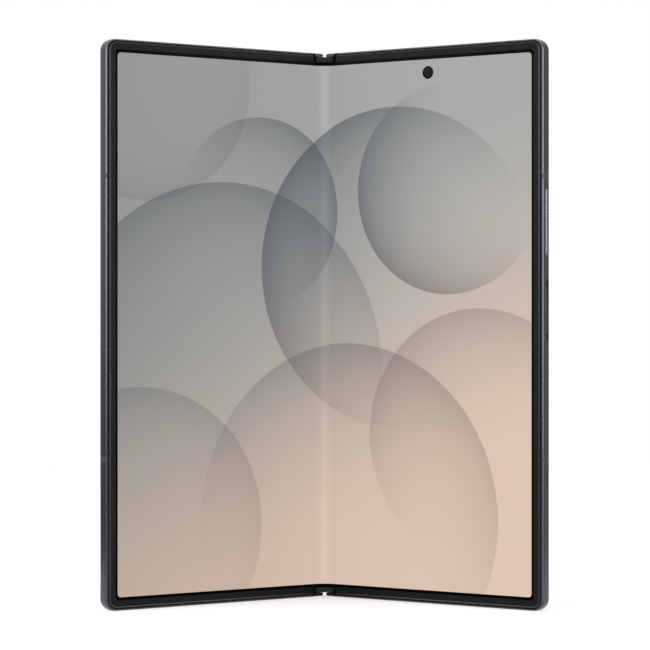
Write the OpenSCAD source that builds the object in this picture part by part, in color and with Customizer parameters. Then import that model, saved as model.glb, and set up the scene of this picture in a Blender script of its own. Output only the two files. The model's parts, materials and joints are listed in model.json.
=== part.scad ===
// Book-style folding phone, half open and standing on its lower edges.
// Each half is drawn as if the phone lay open flat: x runs outwards from the fold, y from the
// screen to the back, z up the fold. The half is then turned about its own hinge axis.

/* [Body] */
// Height of each half along the fold
body_h = 158.7; // [140:0.2:175]
// Width of each half, from the fold line to its outer edge
half_w = 72.2; // [66:0.2:80]
// Thickness of each half
body_t = 4.2; // [4.2:0.1:5]
// Radius of the outer corners
corner_r = 3.3; // [2.6:0.1:6]
// Thickness of the frame's walls
wall_t = 1.0; // [0.9:0.05:1.2]
// How far the rounded edge of the frame reaches inwards
edge_in = 0.5; // [0.35:0.05:0.6]
// How far the rounded edge of the frame reaches along its thickness
edge_deep = 1.1; // [0.5:0.05:1.4]
// Thickness of the mid plate
mid_t = 0.4; // [0.3:0.05:0.5]
// Thickness of the outer glasses
glass_t = 0.4; // [0.3:0.05:0.5]
// Width of a polymer antenna break
break_w = 1.25; // [0.8:0.05:2]
// Distance of the upper antenna break above the volume rocker
break_up = 3.4; // [2:0.1:8]
// Depth of the lower antenna break below the middle
break_down = 37.3; // [30:0.1:46]
// Distance of the antenna breaks in the end walls from the outer edge
break_side = 11; // [8:0.5:18]

/* [Screen] */
// Thickness of the flexible display
panel_t = 0.6; // [0.4:0.05:0.65]
// Depth of the display's face below the frame's front
panel_deep = 0.2; // [0.1:0.05:0.25]
// Thickness of the plate behind the display
plate_t = 0.13; // [0.1:0.01:0.15]
// Distance of the display's edge from the edge of the frame
panel_edge = 2.8; // [2.6:0.05:2.9]
// Distance of the bezel's inner edge from the edge of the frame at the side
bezel_side = 3.12; // [3:0.02:3.4]
// Distance of the bezel's inner edge from the edge of the frame at the ends
bezel_end = 3.04; // [3:0.02:3.4]
// Seam between the frame and the bezel
bezel_seam = 0.5; // [0.3:0.02:0.6]
// Distance from the fold line at which the bezel starts
bezel_from = 4.45; // [4.2:0.05:5]
// Half of the display's width that stays flexible over the hinge
fold_half = 4.2; // [4.15:0.05:5]
// Diameter of the hole for the inner camera
eye_d = 3.76; // [3:0.02:5]
// Distance of the inner camera from the fold line
eye_out = 35.3; // [20:0.1:50]
// Distance of the inner camera from the upper edge
eye_down = 7.5; // [6.5:0.1:12]

/* [Hinge] */
// Angle between the two halves as the phone stands
open_angle = 115; // [60:1:170]
// Distance of each hinge axis from the fold line
axis_out = 1.85; // [1.82:0.01:1.9]
// Depth of the hinge axes below the frame's front
axis_deep = 1.6; // [1.57:0.01:1.65]
// Radius of the spine about each hinge axis
spine_r = 1.95; // [1.85:0.01:1.98]
// Wall of the spine cover
spine_wall = 0.35; // [0.25:0.01:0.4]
// Gap between the spine and the halves
spine_gap = 0.3; // [0.25:0.01:0.35]
// Radius of the hinge pins
pin_r = 0.35; // [0.28:0.01:0.36]
// Running clearance round pins and shafts
run_gap = 0.04; // [0.02:0.01:0.06]
// Outer radius of the knuckles on the pins
knuckle_r = 0.6; // [0.56:0.01:0.61]
// Thickness of the hinge arms
arm_t = 0.45; // [0.35:0.05:0.5]
// Reach of the hinge arms from the fold line
arm_out = 12; // [10:0.5:14]
// Length of a hinge module
module_len = 16; // [15:0.5:20]
// Distance of the outer hinge modules from the ends
module_end = 22; // [16:0.5:30]
// Thickness of the end caps
cap_t = 1.5; // [1.4:0.05:1.6]
// Gap between the end caps and the frame
cap_gap = 0.15; // [0.1:0.01:0.2]
// Gap at the fold line between a half and the middle of the phone
fold_gap = 1.0; // [0.95:0.01:1.1]
// Tooth count of each sync gear
teeth = 10; // [8:2:12]
// How far the idler gears lie behind the line of the hinge axes
idler_drop = 0.5; // [0.4:0.01:0.6]

/* [Keys] */
// Length of the volume rocker
rocker_len = 18.8; // [16:0.1:22]
// Height of the rocker's middle above the middle of the phone
rocker_up = 28.4; // [26:0.1:29]
// Length of the power key
power_len = 13.8; // [12:0.1:15]
// Height of the power key's middle above the middle of the phone
power_up = 4.1; // [2:0.1:5]
// Width of the keys
key_w = 1.9; // [1.6:0.05:2]
// Depth of the keys' middle line below the frame's front
key_deep = 2.2; // [2.15:0.01:2.25]
// How far the rocker stands proud of the wall
rocker_proud = 0.3; // [0.2:0.05:0.5]
// How far the power key lies below the wall
power_sunk = 0.15; // [0.1:0.01:0.2]
// Travel of the power key
key_travel = 0.2; // [0.1:0.05:0.25]
// Clearance round the keys
key_gap = 0.12; // [0.1:0.01:0.2]

/* [Card tray] */
// Width of the tray's face
tray_w = 14.2; // [13:0.1:16]
// Thickness of the tray
tray_t = 1.2; // [1:0.05:1.4]
// Depth of the tray inside the phone
tray_len = 19; // [16:0.5:22]
// Distance of the tray's middle from the fold line
tray_out = 24; // [22:0.5:25]
// Clearance round the tray
tray_gap = 0.08; // [0.05:0.01:0.15]

/* [Cameras] */
// Width of the camera island
island_w = 17; // [16:0.2:19]
// Height of the camera island
island_h = 48; // [46:0.5:52]
// How far the island stands proud of the back
island_proud = 1.5; // [1:0.1:2.2]
// Distance of the island's middle line from the outer edge
island_in = 13.6; // [11:0.1:15]
// Distance of the island's top from the upper edge
island_down = 8; // [6:0.5:12]
// Radius of a lens ring
ring_r = 6.4; // [5.5:0.1:6.8]
// Radius of a lens glass
lens_r = 5.0; // [4:0.1:5.2]
// Height of a lens ring above the island
ring_proud = 0.8; // [0.4:0.1:1.2]
// Distance between the lenses
lens_pitch = 15.2; // [14:0.1:16]

/* [Inside] */
// Gap between fixed pieces that lie beside each other
seat_gap = 0.05; // [0.02:0.01:0.1]
// Thickness of the circuit boards
board_t = 0.6; // [0.4:0.05:0.8]
// Height of the shields on the boards
shield_t = 1.0; // [0.6:0.1:1.1]
// Width of the batteries
battery_w = 50; // [40:1:52]
// Height of the batteries
battery_h = 66; // [50:1:68]
// Thickness of the battery in the right half
battery_t = 1.9; // [1.5:0.05:1.9]
// Gap between the batteries and the level of the camera island
battery_gap = 6.7; // [1:0.1:10]
// Width of the plug's opening
port_w = 8.34; // [8.3:0.02:8.4]
// Height of the plug's opening
port_h = 2.56; // [2.5:0.02:2.6]
// Wall of the port's shell
port_wall = 0.13; // [0.1:0.01:0.15]
// Depth of the port
port_len = 7.3; // [6.5:0.1:8]
// Distance of the port from the fold line
port_out = 38; // [34:0.5:42]

/* [Hidden] */

$fn = 48;
eps = 0.01;

// ---- levels through the thickness, from the frame's front ----
lean = (180 - open_angle) / 2;
mid_z = body_h / 2;
panel_back = panel_deep + panel_t;
mid_front = panel_back + plate_t;
mid_back = mid_front + mid_t;
glass_front = body_t - glass_t;
bezel_front = 0.02;
bezel_lip_gap = 0.02;
bezel_lip_back = panel_deep - bezel_lip_gap;
panel_corner_r = 1.0;

// ---- hinge ----
cave_r = spine_r + spine_gap;
wing_front = axis_deep + cave_r;
wing_u = 0.25;
wing_bevel = 0.12;
end_front = 0.3;
end_round = 0.7;
end_len = 3.7;
hinge_wall_u = axis_out + cave_r;
hinge_wall_t = 1.0;
hinge_wall_lap = 0.5;
plate_lap = 0.2;
bay_u = hinge_wall_u + hinge_wall_t;
back_land = 0.9;
back_u = bay_u + back_land;
cap_top = body_h - wall_t - cap_gap;
cap_front = 0.3;
cap_wall = 0.3;
module_z = [module_end, mid_z, body_h - module_end];
ear_len = 2;
ear_back = 1.2;
knuckle_len = 2.8;
knuckle_gap = 0.1;
// where a knuckle starts beside its outer ear, from the module's middle
knuckle_from = module_len / 2 - ear_len - knuckle_gap;
bridge_gap = 0.25;
press_gap = 0.01;
arm_front = mid_front + 0.05;
arm_clear = knuckle_r + 0.15;
arm_sink = 0.19;

// ---- the display's curve at rest: an arc that meets both flat panels smoothly ----
face_x = axis_out + (fold_half - axis_out) * cos(lean) + (panel_deep - axis_deep) * sin(lean);
face_y = axis_deep - (fold_half - axis_out) * sin(lean) + (panel_deep - axis_deep) * cos(lean);
fold_r = face_x / sin(lean);
fold_centre_y = face_y - fold_r * cos(lean);

// ---- where the whole phone stands: the middle of its depth is at y = 0 ----
front_y = axis_deep - (half_w - axis_out) * sin(lean) - axis_deep * cos(lean);
rear_y = axis_deep + (axis_out - wing_u) * sin(lean) + (body_t - axis_deep) * cos(lean);
hinge_y = -(front_y + rear_y) / 2;

// ---- sync gears: two on the hinge axes and two idlers between them, all of one radius,
// so that each pair's centres lie two pitch radii apart ----
pitch_r = (sqrt(4 * axis_out * axis_out + 3 * idler_drop * idler_drop) - axis_out) / 3;
tooth_m = 2 * pitch_r / teeth;
idler_x = pitch_r;
idler_y = axis_deep + idler_drop;
gear_t = 0.5;
gear_deep = 0.65;
gear_top = cap_top - gear_deep;
root_share = 1.2;
tip_share = 0.85;
foot_share = 0.62;
crest_share = 0.26;
tooth_deg = 360 / teeth;
mesh_deg = atan2(idler_y - axis_deep, idler_x - axis_out);

// ---- colours ----
metal = [0.25, 0.26, 0.29];
dark = [0.13, 0.13, 0.14];
black = [0.04, 0.04, 0.045];
steel = [0.62, 0.63, 0.65];
lit = [0.72, 0.68, 0.64];
board_green = [0.07, 0.2, 0.17];
cell_grey = [0.2, 0.2, 0.22];
copper = [0.72, 0.42, 0.24];
gold = [0.8, 0.66, 0.36];

// =====================================================================================
// Placing and shaping helpers
// =====================================================================================

module stand() {
    translate([0, hinge_y, 0]) children();
}

// Turns what is drawn flat for the right half about the right hinge axis
module on_right() {
    stand()
        translate([axis_out, axis_deep, 0])
            rotate([0, 0, -lean])
                translate([-axis_out, -axis_deep, 0]) children();
}

module on_left() {
    mirror([1, 0, 0]) on_right() children();
}

// A plan drawn in x and z, given a thickness from y0 to y1
module slab(y0, y1) {
    translate([0, y1, 0]) rotate([90, 0, 0]) linear_extrude(height = y1 - y0) children();
}

// A section drawn in x and y, given a height from z0 to z1
module rise(z0, z1) {
    translate([0, 0, z0]) linear_extrude(height = z1 - z0) children();
}

// A section drawn in y and z, given a length from x0 to x1
module run(x0, x1) {
    translate([x0, 0, 0]) rotate([90, 0, 90]) linear_extrude(height = x1 - x0) children();
}

module block(x0, x1, y0, y1, z0, z1) {
    translate([x0, y0, z0]) cube([x1 - x0, y1 - y0, z1 - z0]);
}

// A round bar along y
module peg(x, z, r, y0, y1) {
    translate([x, y1, z]) rotate([90, 0, 0]) cylinder(h = y1 - y0, r = r);
}

// Plan of one half from x0 outwards, drawn in by inset
module half_plan(x0, inset_side, inset_end, r) {
    w = half_w - inset_side - x0;
    h = body_h - 2 * inset_end;
    translate([x0, inset_end]) {
        square([w - r, h]);
        translate([0, r]) square([w, h - 2 * r]);
        translate([w - r, r]) circle(r = r);
        translate([w - r, h - r]) circle(r = r);
    }
}

// Plan of a rectangle with four round corners
module round_plan(x0, x1, z0, z1, r) {
    translate([x0 + r, z0]) square([x1 - x0 - 2 * r, z1 - z0]);
    translate([x0, z0 + r]) square([x1 - x0, z1 - z0 - 2 * r]);
    for (x = [x0 + r, x1 - r], z = [z0 + r, z1 - r])
        translate([x, z]) circle(r = r);
}

// Space that the spine needs in a half, all along the fold
module cave(z0 = -1, z1 = body_h + 1) {
    translate([axis_out, axis_deep, z0]) cylinder(h = z1 - z0, r = cave_r);
}

// =====================================================================================
// Frame
// =====================================================================================

edge_steps = 5;

// Wall section as [distance inwards, depth]: a narrow rim at each face, round at the outside
function edge_inset(i) = edge_in * (1 - sin(90 * i / edge_steps));
function edge_depth(i) = edge_deep * (1 - cos(90 * i / edge_steps));
front_edge = [for (i = [0:edge_steps]) [edge_inset(i), edge_depth(i)]];
back_edge = [for (i = [edge_steps:-1:0]) [edge_inset(i), body_t - edge_depth(i)]];
wall_section = concat(front_edge, back_edge,
    [[edge_in, glass_front - seat_gap], [wall_t, glass_front - seat_gap], [wall_t, mid_front],
     [edge_in, mid_front]]);
end_section = concat([for (p = front_edge) [p[0], p[1] + end_front]], back_edge,
    [[wall_t, body_t], [wall_t, end_front]]);

module lower_corner() {
    translate([half_w - corner_r, 0, corner_r])
        rotate([-90, 0, 0])
            rotate_extrude(angle = 90) polygon([for (p = wall_section) [corner_r - p[0], p[1]]]);
}

module lower_wall(x0, x1) {
    run(x0, x1) polygon([for (p = wall_section) [p[1], p[0]]]);
}

module lower_end() {
    intersection() {
        run(fold_gap, end_len) polygon([for (p = end_section) [p[1], p[0]]]);
        slab(0, body_t) {
            translate([fold_gap + end_round, 0]) square([end_len, wall_t]);
            translate([fold_gap, end_round]) square([end_len, wall_t]);
            translate([fold_gap + end_round, end_round]) circle(r = end_round);
        }
    }
}

module frame_walls() {
    rise(corner_r, body_h - corner_r)
        polygon([for (p = wall_section) [half_w - p[0], p[1]]]);
    for (top = [false, true])
        translate([0, 0, top ? body_h : 0])
            mirror([0, 0, top ? 1 : 0]) {
                lower_corner();
                lower_wall(end_len, half_w - corner_r);
                lower_end();
            }
}

// Wall beside the spine, with a thin wing behind it
module hinge_side() {
    difference() {
        rise(wall_t - eps, body_h - wall_t + eps)
            polygon([
                [wing_u, wing_front + wing_bevel], [wing_u, body_t - wing_bevel],
                [wing_u + wing_bevel, body_t],
                [back_u, body_t], [back_u, glass_front - seat_gap],
                [bay_u, glass_front - seat_gap], [bay_u, mid_front],
                [hinge_wall_u - hinge_wall_lap, mid_front],
                [hinge_wall_u - hinge_wall_lap, wing_front], [wing_u + wing_bevel, wing_front]]);
        cave();
    }
}

module mid_plate() {
    difference() {
        slab(mid_front, mid_back)
            half_plan(hinge_wall_u - plate_lap, edge_in, edge_in, corner_r - edge_in);
        cave();
    }
}

// Bosses behind the mid plate that the hinge arms are screwed to
module screw_bosses() {
    for (z = module_z)
        block(bay_u - eps, arm_out, mid_back - eps, boss_back, z - boss_half, z + boss_half);
}

boss_h = 1.0;
boss_half = knuckle_from;
boss_back = mid_back + boss_h;
screw_in = 1.8;
screw_pitch = 2.8;
screw_x = [arm_out - screw_in - screw_pitch, arm_out - screw_in];
screw_r = 0.4;
screw_head_r = 0.75;
screw_head_t = 0.17;

module arm_slots() {
    for (z = module_z) {
        block(hinge_wall_u - 1, arm_out + seat_gap, mid_front - eps, arm_front + arm_t + seat_gap,
            z - boss_half - seat_gap, z + boss_half + seat_gap);
        for (x = screw_x)
            peg(x, z, screw_r + run_gap, mid_front, boss_back + eps);
    }
}

module antenna_cuts(grow) {
    for (z = [mid_z + rocker_up + rocker_len / 2 + break_up, mid_z - break_down])
        block(half_w - wall_t - grow, half_w + 1, -1, body_t + 1,
            z - break_w / 2, z + break_w / 2);
    for (z0 = [-1, body_h - wall_t - grow])
        block(half_w - break_side - break_w / 2, half_w - break_side + break_w / 2,
            -1, body_t + 1, z0, z0 + wall_t + 1 + grow);
}

// Everything that both frames share; the walls keep a thin root inside the antenna breaks
module frame_body() {
    difference() {
        union() {
            frame_walls();
            hinge_side();
            mid_plate();
            screw_bosses();
        }
        arm_slots();
        difference() {
            antenna_cuts(0);
            slab(mid_front - eps, mid_back + eps)
                half_plan(hinge_wall_u, wall_t, wall_t, corner_r - wall_t);
        }
    }
}

module antenna_breaks() {
    intersection() {
        antenna_cuts(0);
        difference() {
            frame_walls();
            slab(mid_front - eps, mid_back + eps)
                half_plan(hinge_wall_u, wall_t, wall_t, corner_r - wall_t);
        }
    }
}

// Row of round holes along x through an end wall
hole_r = 0.45;
module wall_holes(middle, count, z0) {
    for (i = [0:count - 1])
        translate([middle + (i - (count - 1) / 2) * speaker_pitch, hole_deep, z0])
            cylinder(h = wall_t + 2, r = hole_r);
}

hole_deep = 2.35;
speaker_pitch = 1.6;
speaker_holes = 5;
earpiece_holes = 4;
mic_x = [20, 26];

module key_slot(len, z) {
    rise(z - len / 2 - key_gap + key_w / 2, z + len / 2 + key_gap - key_w / 2)
        translate([half_w - wall_t - 1, key_deep - key_w / 2 - key_gap])
            square([wall_t + 2, key_w + 2 * key_gap]);
    for (dz = [-1, 1])
        translate([half_w - wall_t - 1, key_deep, z + dz * (len - key_w) / 2])
            rotate([0, 90, 0]) cylinder(h = wall_t + 2, r = key_w / 2 + key_gap);
}

// Pivot at the middle of the volume rocker, reaching back past its side into the frame
pivot_in = 0.9;
pivot_r = 0.25;
pivot_reach = key_gap + 0.15;
module rocker_pivot(r, reach) {
    peg(half_w - pivot_in, mid_z + rocker_up, r, key_deep, key_deep + key_w / 2 + reach);
}

// Shallow scoop that leads a finger onto the power key
scoop_len = 2.2;
scoop_more = 0.1;
scoop_deep = power_sunk + scoop_more;
scoop_r = (scoop_len * scoop_len + scoop_deep * scoop_deep) / (2 * scoop_deep);

module power_scoop() {
    z = mid_z + power_up;
    reach = power_len / 2;
    block(half_w - power_sunk, half_w + 1, key_deep - key_w / 2 - key_gap,
        key_deep + key_w / 2 + key_gap, z - reach, z + reach);
    for (dz = [-1, 1])
        intersection() {
            block(half_w - 1, half_w + 1, key_deep - key_w / 2 - key_gap,
                key_deep + key_w / 2 + key_gap, z - reach - scoop_len, z + reach + scoop_len);
            translate([half_w - scoop_deep + scoop_r, key_deep - 2, z + dz * reach])
                rotate([-90, 0, 0]) cylinder(h = 4, r = scoop_r, $fn = 96);
        }
}

port_lift = 0.02;
port_centre = mid_front + port_lift + port_wall + port_h / 2;
port_room = 0.6;
port_room_back = 0.8;

// Flat-sided oval along z
module oval(w, h, x, y) {
    for (dx = [-1, 1])
        translate([x + dx * (w - h) / 2, y]) circle(r = h / 2);
    translate([x - (w - h) / 2, y - h / 2]) square([w - h, h]);
}

tray_lift = 0.15;
tray_deep = mid_back + tray_lift + tray_t / 2;

module left_frame() {
    color(metal) on_left() difference() {
        frame_body();
        rise(body_h - wall_t - 1, body_h + 1)
            oval(tray_w + 2 * tray_gap, tray_t + 2 * tray_gap, tray_out, tray_deep);
        wall_holes(earpiece_mid, earpiece_holes, body_h - wall_t - 1);
        wall_holes(mic_x[0], 1, -1);
    }
}

module right_frame() {
    color(metal) on_right() difference() {
        frame_body();
        key_slot(rocker_len, mid_z + rocker_up);
        key_slot(power_len, mid_z + power_up);
        rocker_pivot(pivot_r + run_gap, pivot_reach + seat_gap);
        power_scoop();
        rise(-1, wall_t + 1)
            oval(port_w + 2 * port_wall + 2 * seat_gap, port_h + 2 * port_wall + 2 * seat_gap,
                port_out, port_centre);
        block(port_out - port_w / 2 - port_room, port_out + port_w / 2 + port_room,
            mid_front - eps, mid_back + eps, wall_t, port_len + port_room_back);
        wall_holes(speaker_mid, speaker_holes, -1);
        wall_holes(mic_x[1], 1, -1);
        wall_holes(mic_x[1], 1, body_h - wall_t - 1);
        peg(eye_out, body_h - eye_down, eye_d / 2 + eye_gap, 0, mid_back + 1);
    }
}

module left_antenna_breaks() {
    color(dark) on_left() antenna_breaks();
}

module right_antenna_breaks() {
    color(dark) on_right() antenna_breaks();
}

// =====================================================================================
// Inner screen
// =====================================================================================

// Soft rim: thick outside the display, with a thin lip over the display's edge
module bezel() {
    outer = edge_in + bezel_seam;
    foot = panel_edge - seat_gap;
    difference() {
        union() {
            slab(bezel_front, mid_front) difference() {
                half_plan(0, outer, outer, corner_r - outer);
                half_plan(-1, foot, foot, panel_corner_r);
            }
            slab(bezel_front, bezel_lip_back) difference() {
                half_plan(0, outer, outer, corner_r - outer);
                half_plan(-1, bezel_side, bezel_end, panel_corner_r);
            }
        }
        block(-2, bezel_from, -1, mid_front + 1, -1, body_h + 1);
    }
}

module left_bezel() {
    color(dark) on_left() bezel();
}

module right_bezel() {
    color(dark) on_right() bezel();
}

module display() {
    slab(panel_deep, panel_back)
        half_plan(fold_half, panel_edge, panel_edge, panel_corner_r);
}

module left_display() {
    color(lit) on_left() display();
}

module right_display() {
    color(lit) on_right() difference() {
        display();
        peg(eye_out, body_h - eye_down, eye_d / 2, 0, body_t);
    }
}

module support_plate() {
    slab(panel_back, mid_front)
        half_plan(fold_half, panel_edge, panel_edge, panel_corner_r);
}

module left_support_plate() {
    color(steel) on_left() support_plate();
}

module right_support_plate() {
    color(steel) on_right() difference() {
        support_plate();
        peg(eye_out, body_h - eye_down, eye_d / 2 + eye_gap, 0, body_t);
    }
}

// The flexible strip between the flat panels, as it curves at rest
module display_fold() {
    reach = 2 * fold_r;
    color(lit) stand() rise(panel_edge, body_h - panel_edge)
        translate([0, fold_centre_y])
            intersection() {
                difference() {
                    circle(r = fold_r + panel_t, $fn = 128);
                    circle(r = fold_r, $fn = 128);
                }
                polygon([[0, 0], [-reach * sin(lean), reach * cos(lean)],
                    [reach * sin(lean), reach * cos(lean)]]);
            }
}

// =====================================================================================
// Hinge
// =====================================================================================

// Section of the spine, drawn in by inset, behind the level y0
module spine_plan(inset, y0) {
    r = spine_r - inset;
    difference() {
        union() {
            for (x = [-axis_out, axis_out])
                translate([x, axis_deep]) circle(r = r);
            translate([-axis_out, axis_deep - r]) square([2 * axis_out, 2 * r]);
        }
        translate([-10, -10]) square([20, 10 + y0]);
    }
}

module hinge_cover() {
    color(metal) stand() rise(body_h - cap_top + cap_t, cap_top - cap_t) difference() {
        spine_plan(0, axis_deep);
        spine_plan(spine_wall, axis_deep - 1);
    }
}

idler_shaft_r = 0.3;

module end_cap() {
    difference() {
        rise(cap_top - cap_t, cap_top) spine_plan(0, cap_front);
        rise(cap_top - cap_t - 1, gear_top + run_gap) spine_plan(cap_wall, cap_front + cap_wall);
        for (x = [-axis_out, axis_out])
            translate([x, axis_deep, cap_top - 3]) cylinder(h = 4, r = pin_r + run_gap);
        for (x = [-idler_x, idler_x])
            translate([x, idler_y, cap_top - 3]) cylinder(h = 4, r = idler_shaft_r + run_gap);
    }
}

// Draws its child at the top and again, mirrored, at the bottom
module both_ends() {
    children();
    translate([0, 0, body_h]) mirror([0, 0, 1]) children();
}

module hinge_end_caps() {
    color(dark) stand() both_ends() end_cap();
}

ear_half = axis_out + knuckle_r;

module hinge_carriers() {
    color(steel) stand() for (z = module_z) difference() {
        union() {
            rise(z - module_len / 2, z + module_len / 2)
                translate([-axis_out, axis_deep + knuckle_r + bridge_gap])
                    square([2 * axis_out, spine_r - spine_wall - knuckle_r - bridge_gap]);
            for (dz = [-module_len / 2, -ear_len / 2, module_len / 2 - ear_len])
                rise(z + dz, z + dz + ear_len) {
                    for (x = [-axis_out, axis_out])
                        translate([x, axis_deep]) circle(r = knuckle_r);
                    translate([-axis_out, axis_deep - knuckle_r])
                        square([2 * axis_out, spine_r - spine_wall]);
                    translate([-ear_half, axis_deep]) square([2 * ear_half, ear_back]);
                }
        }
        for (x = [-axis_out, axis_out])
            translate([x, axis_deep, z - module_len])
                cylinder(h = 2 * module_len, r = pin_r + press_gap);
    }
}

module hinge_pins() {
    color(steel) stand() for (z = module_z, x = [-axis_out, axis_out])
        translate([x, axis_deep, z - module_len / 2])
            cylinder(h = module_len, r = pin_r);
}

// Sleeves that fill the rest of each pin between the middle ear and the knuckles
module friction_sleeves() {
    sleeve_from = ear_len / 2 + seat_gap;
    sleeve_to = knuckle_from - knuckle_len - knuckle_gap;
    color(gold) stand() for (z = module_z, x = [-axis_out, axis_out], s = [0, 1])
        translate([x, axis_deep, z + (s == 0 ? sleeve_from : -sleeve_to)])
            difference() {
                cylinder(h = sleeve_to - sleeve_from, r = knuckle_r - seat_gap);
                translate([0, 0, -1]) cylinder(h = module_len, r = pin_r + press_gap);
            }
}

module hinge_arm(z) {
    difference() {
        union() {
            block(axis_out + arm_clear, arm_out, arm_front, arm_front + arm_t,
                z - knuckle_from, z + knuckle_from);
            for (z0 = [z - knuckle_from, z + knuckle_from - knuckle_len]) {
                translate([axis_out, axis_deep, z0]) cylinder(h = knuckle_len, r = knuckle_r);
                block(axis_out, axis_out + arm_clear + 1, arm_front, arm_front + arm_t,
                    z0, z0 + knuckle_len);
            }
        }
        translate([axis_out, axis_deep, z - module_len])
            cylinder(h = 2 * module_len, r = pin_r + run_gap);
        for (x = screw_x) {
            peg(x, z, screw_r + run_gap, 0, body_t);
            peg(x, z, screw_head_r + run_gap, 0, arm_front + arm_sink);
        }
    }
}

module left_hinge_arms() {
    color(steel) on_left() for (z = module_z) hinge_arm(z);
}

module right_hinge_arms() {
    color(steel) on_right() for (z = module_z) hinge_arm(z);
}

module arm_screws() {
    for (z = module_z, x = screw_x) {
        peg(x, z, screw_r, arm_front + screw_head_t, boss_back);
        peg(x, z, screw_head_r, arm_front + arm_sink - screw_head_t, arm_front + arm_sink);
    }
}

module left_arm_screws() {
    color(steel) on_left() arm_screws();
}

module right_arm_screws() {
    color(steel) on_right() arm_screws();
}

// Flat cables that run in an open loop through the spine, between the hinge modules
flex_t = 0.15;
flex_w = 14;
flex_deep = 1.1;
flex_rise = 0.9;
flex_out = 0.6;
flex_slant = 0.4;
module hinge_flex() {
    y0 = axis_deep + flex_deep;
    y1 = y0 - flex_rise;
    x0 = axis_out + flex_out;
    x1 = x0 + flex_slant;
    color(copper) stand()
        for (z = [(module_z[0] + module_z[1]) / 2, (module_z[1] + module_z[2]) / 2])
            rise(z - flex_w / 2, z + flex_w / 2)
                polygon([[-x1, y1], [-x1 + flex_t, y1], [-x0 + flex_t, y0], [x0 - flex_t, y0],
                    [x1 - flex_t, y1], [x1, y1], [x0, y0 + flex_t], [-x0, y0 + flex_t]]);
}

// ---- gears ----

// Gear whose first tooth points along angle a
module gear_plan(a) {
    root_r = pitch_r - root_share * tooth_m;
    tip_r = pitch_r + tip_share * tooth_m;
    foot = foot_share * tooth_m;
    crest = crest_share * tooth_m;
    circle(r = root_r);
    for (i = [0:teeth - 1])
        rotate(a + i * tooth_deg)
            polygon([[root_r / 2, -foot], [root_r, -foot], [tip_r, -crest], [tip_r, crest],
                [root_r, foot], [root_r / 2, foot]]);
}

// Angle of a tooth on the gear that is met in direction d, when the first has a tooth at a
function next_tooth(a, d) = d + 180 + tooth_deg / 2 - (a - d);
right_tooth = mesh_deg;
right_idler_tooth = next_tooth(right_tooth, mesh_deg);
left_idler_tooth = next_tooth(right_idler_tooth, 180);
left_tooth = next_tooth(left_idler_tooth, 180 + (180 - mesh_deg) + 180);

module sync_gear(x, y, a, shaft_r, shaft_top) {
    translate([x, y, 0]) {
        rise(gear_top - gear_t, gear_top) gear_plan(a);
        translate([0, 0, gear_top - eps]) cylinder(h = shaft_top - gear_top + eps, r = shaft_r);
    }
}

module right_sync_gears() {
    color(gold) stand() both_ends()
        sync_gear(axis_out, axis_deep, right_tooth, pin_r, body_h - wall_t);
}

module right_idler_gears() {
    color(gold) stand() both_ends()
        sync_gear(idler_x, idler_y, right_idler_tooth, idler_shaft_r, cap_top - seat_gap);
}

module left_idler_gears() {
    color(gold) stand() both_ends()
        sync_gear(-idler_x, idler_y, left_idler_tooth, idler_shaft_r, cap_top - seat_gap);
}

module left_sync_gears() {
    color(gold) stand() both_ends()
        sync_gear(-axis_out, axis_deep, left_tooth, pin_r, body_h - wall_t);
}

// =====================================================================================
// Back: glasses, cover display and cameras
// =====================================================================================

glass_inset = edge_in + seat_gap;
glass_u = back_u + seat_gap;
island_x = half_w - island_in;
island_z0 = body_h - island_down - island_h;
island_r = island_w / 2;
lens_z = [for (i = [-1:1]) island_z0 + island_h / 2 + i * lens_pitch];

module back_sheet() {
    slab(glass_front, body_t) {
        half_plan(glass_u, glass_inset, glass_inset, corner_r - glass_inset);
    }
}

eye_collar = 0.2;
eye_gap = 0.4;
eye_sunk = 0.1;
eye_back = 0.3;
cover_eye_x = (glass_u + half_w) / 2;
cover_eye_z = body_h - 8;
cover_eye_r = 1.9;
cover_panel_t = 0.4;
cover_panel_edge = 2.5;
cover_panel_fold = 1.5;
cover_panel_r = 2;

module cover_glass() {
    color(black) on_left() back_sheet();
}

module cover_display() {
    color(black) on_left() difference() {
        slab(glass_front - cover_panel_t, glass_front)
            round_plan(glass_u + cover_panel_fold, half_w - cover_panel_edge, cover_panel_edge,
                body_h - cover_panel_edge, cover_panel_r);
        peg(cover_eye_x, cover_eye_z, cover_eye_r + eye_gap, 0, body_t + 1);
    }
}

module cover_camera() {
    color(dark) on_left()
        peg(cover_eye_x, cover_eye_z, cover_eye_r, mid_back, glass_front);
}

module back_glass() {
    color([0.24, 0.25, 0.28]) on_right() difference() {
        back_sheet();
        slab(glass_front - 1, body_t + 1)
            round_plan(island_x - island_r, island_x + island_r, island_z0,
                island_z0 + island_h, island_r - eps);
        peg(flash_x, flash_z, flash_r + seat_gap, 0, body_t + 1);
    }
}

flash_r = 2.2;
flash_t = 0.8;
flash_aside = 6;
flash_down = 9;
flash_x = island_x - island_r - flash_aside;
flash_z = island_z0 + island_h - flash_down;

module camera_island() {
    step = 0.3;
    color(metal) on_right() difference() {
        union() {
            slab(glass_front - seat_gap, body_t + island_proud - step)
                round_plan(island_x - island_r + seat_gap, island_x + island_r - seat_gap,
                    island_z0 + seat_gap, island_z0 + island_h - seat_gap,
                    island_r - seat_gap - eps);
            slab(body_t, body_t + island_proud)
                round_plan(island_x - island_r + step, island_x + island_r - step,
                    island_z0 + step, island_z0 + island_h - step, island_r - step - eps);
        }
        for (z = lens_z)
            peg(island_x, z, lens_r + seat_gap, 0, body_t + island_proud + 1);
    }
}

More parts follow.
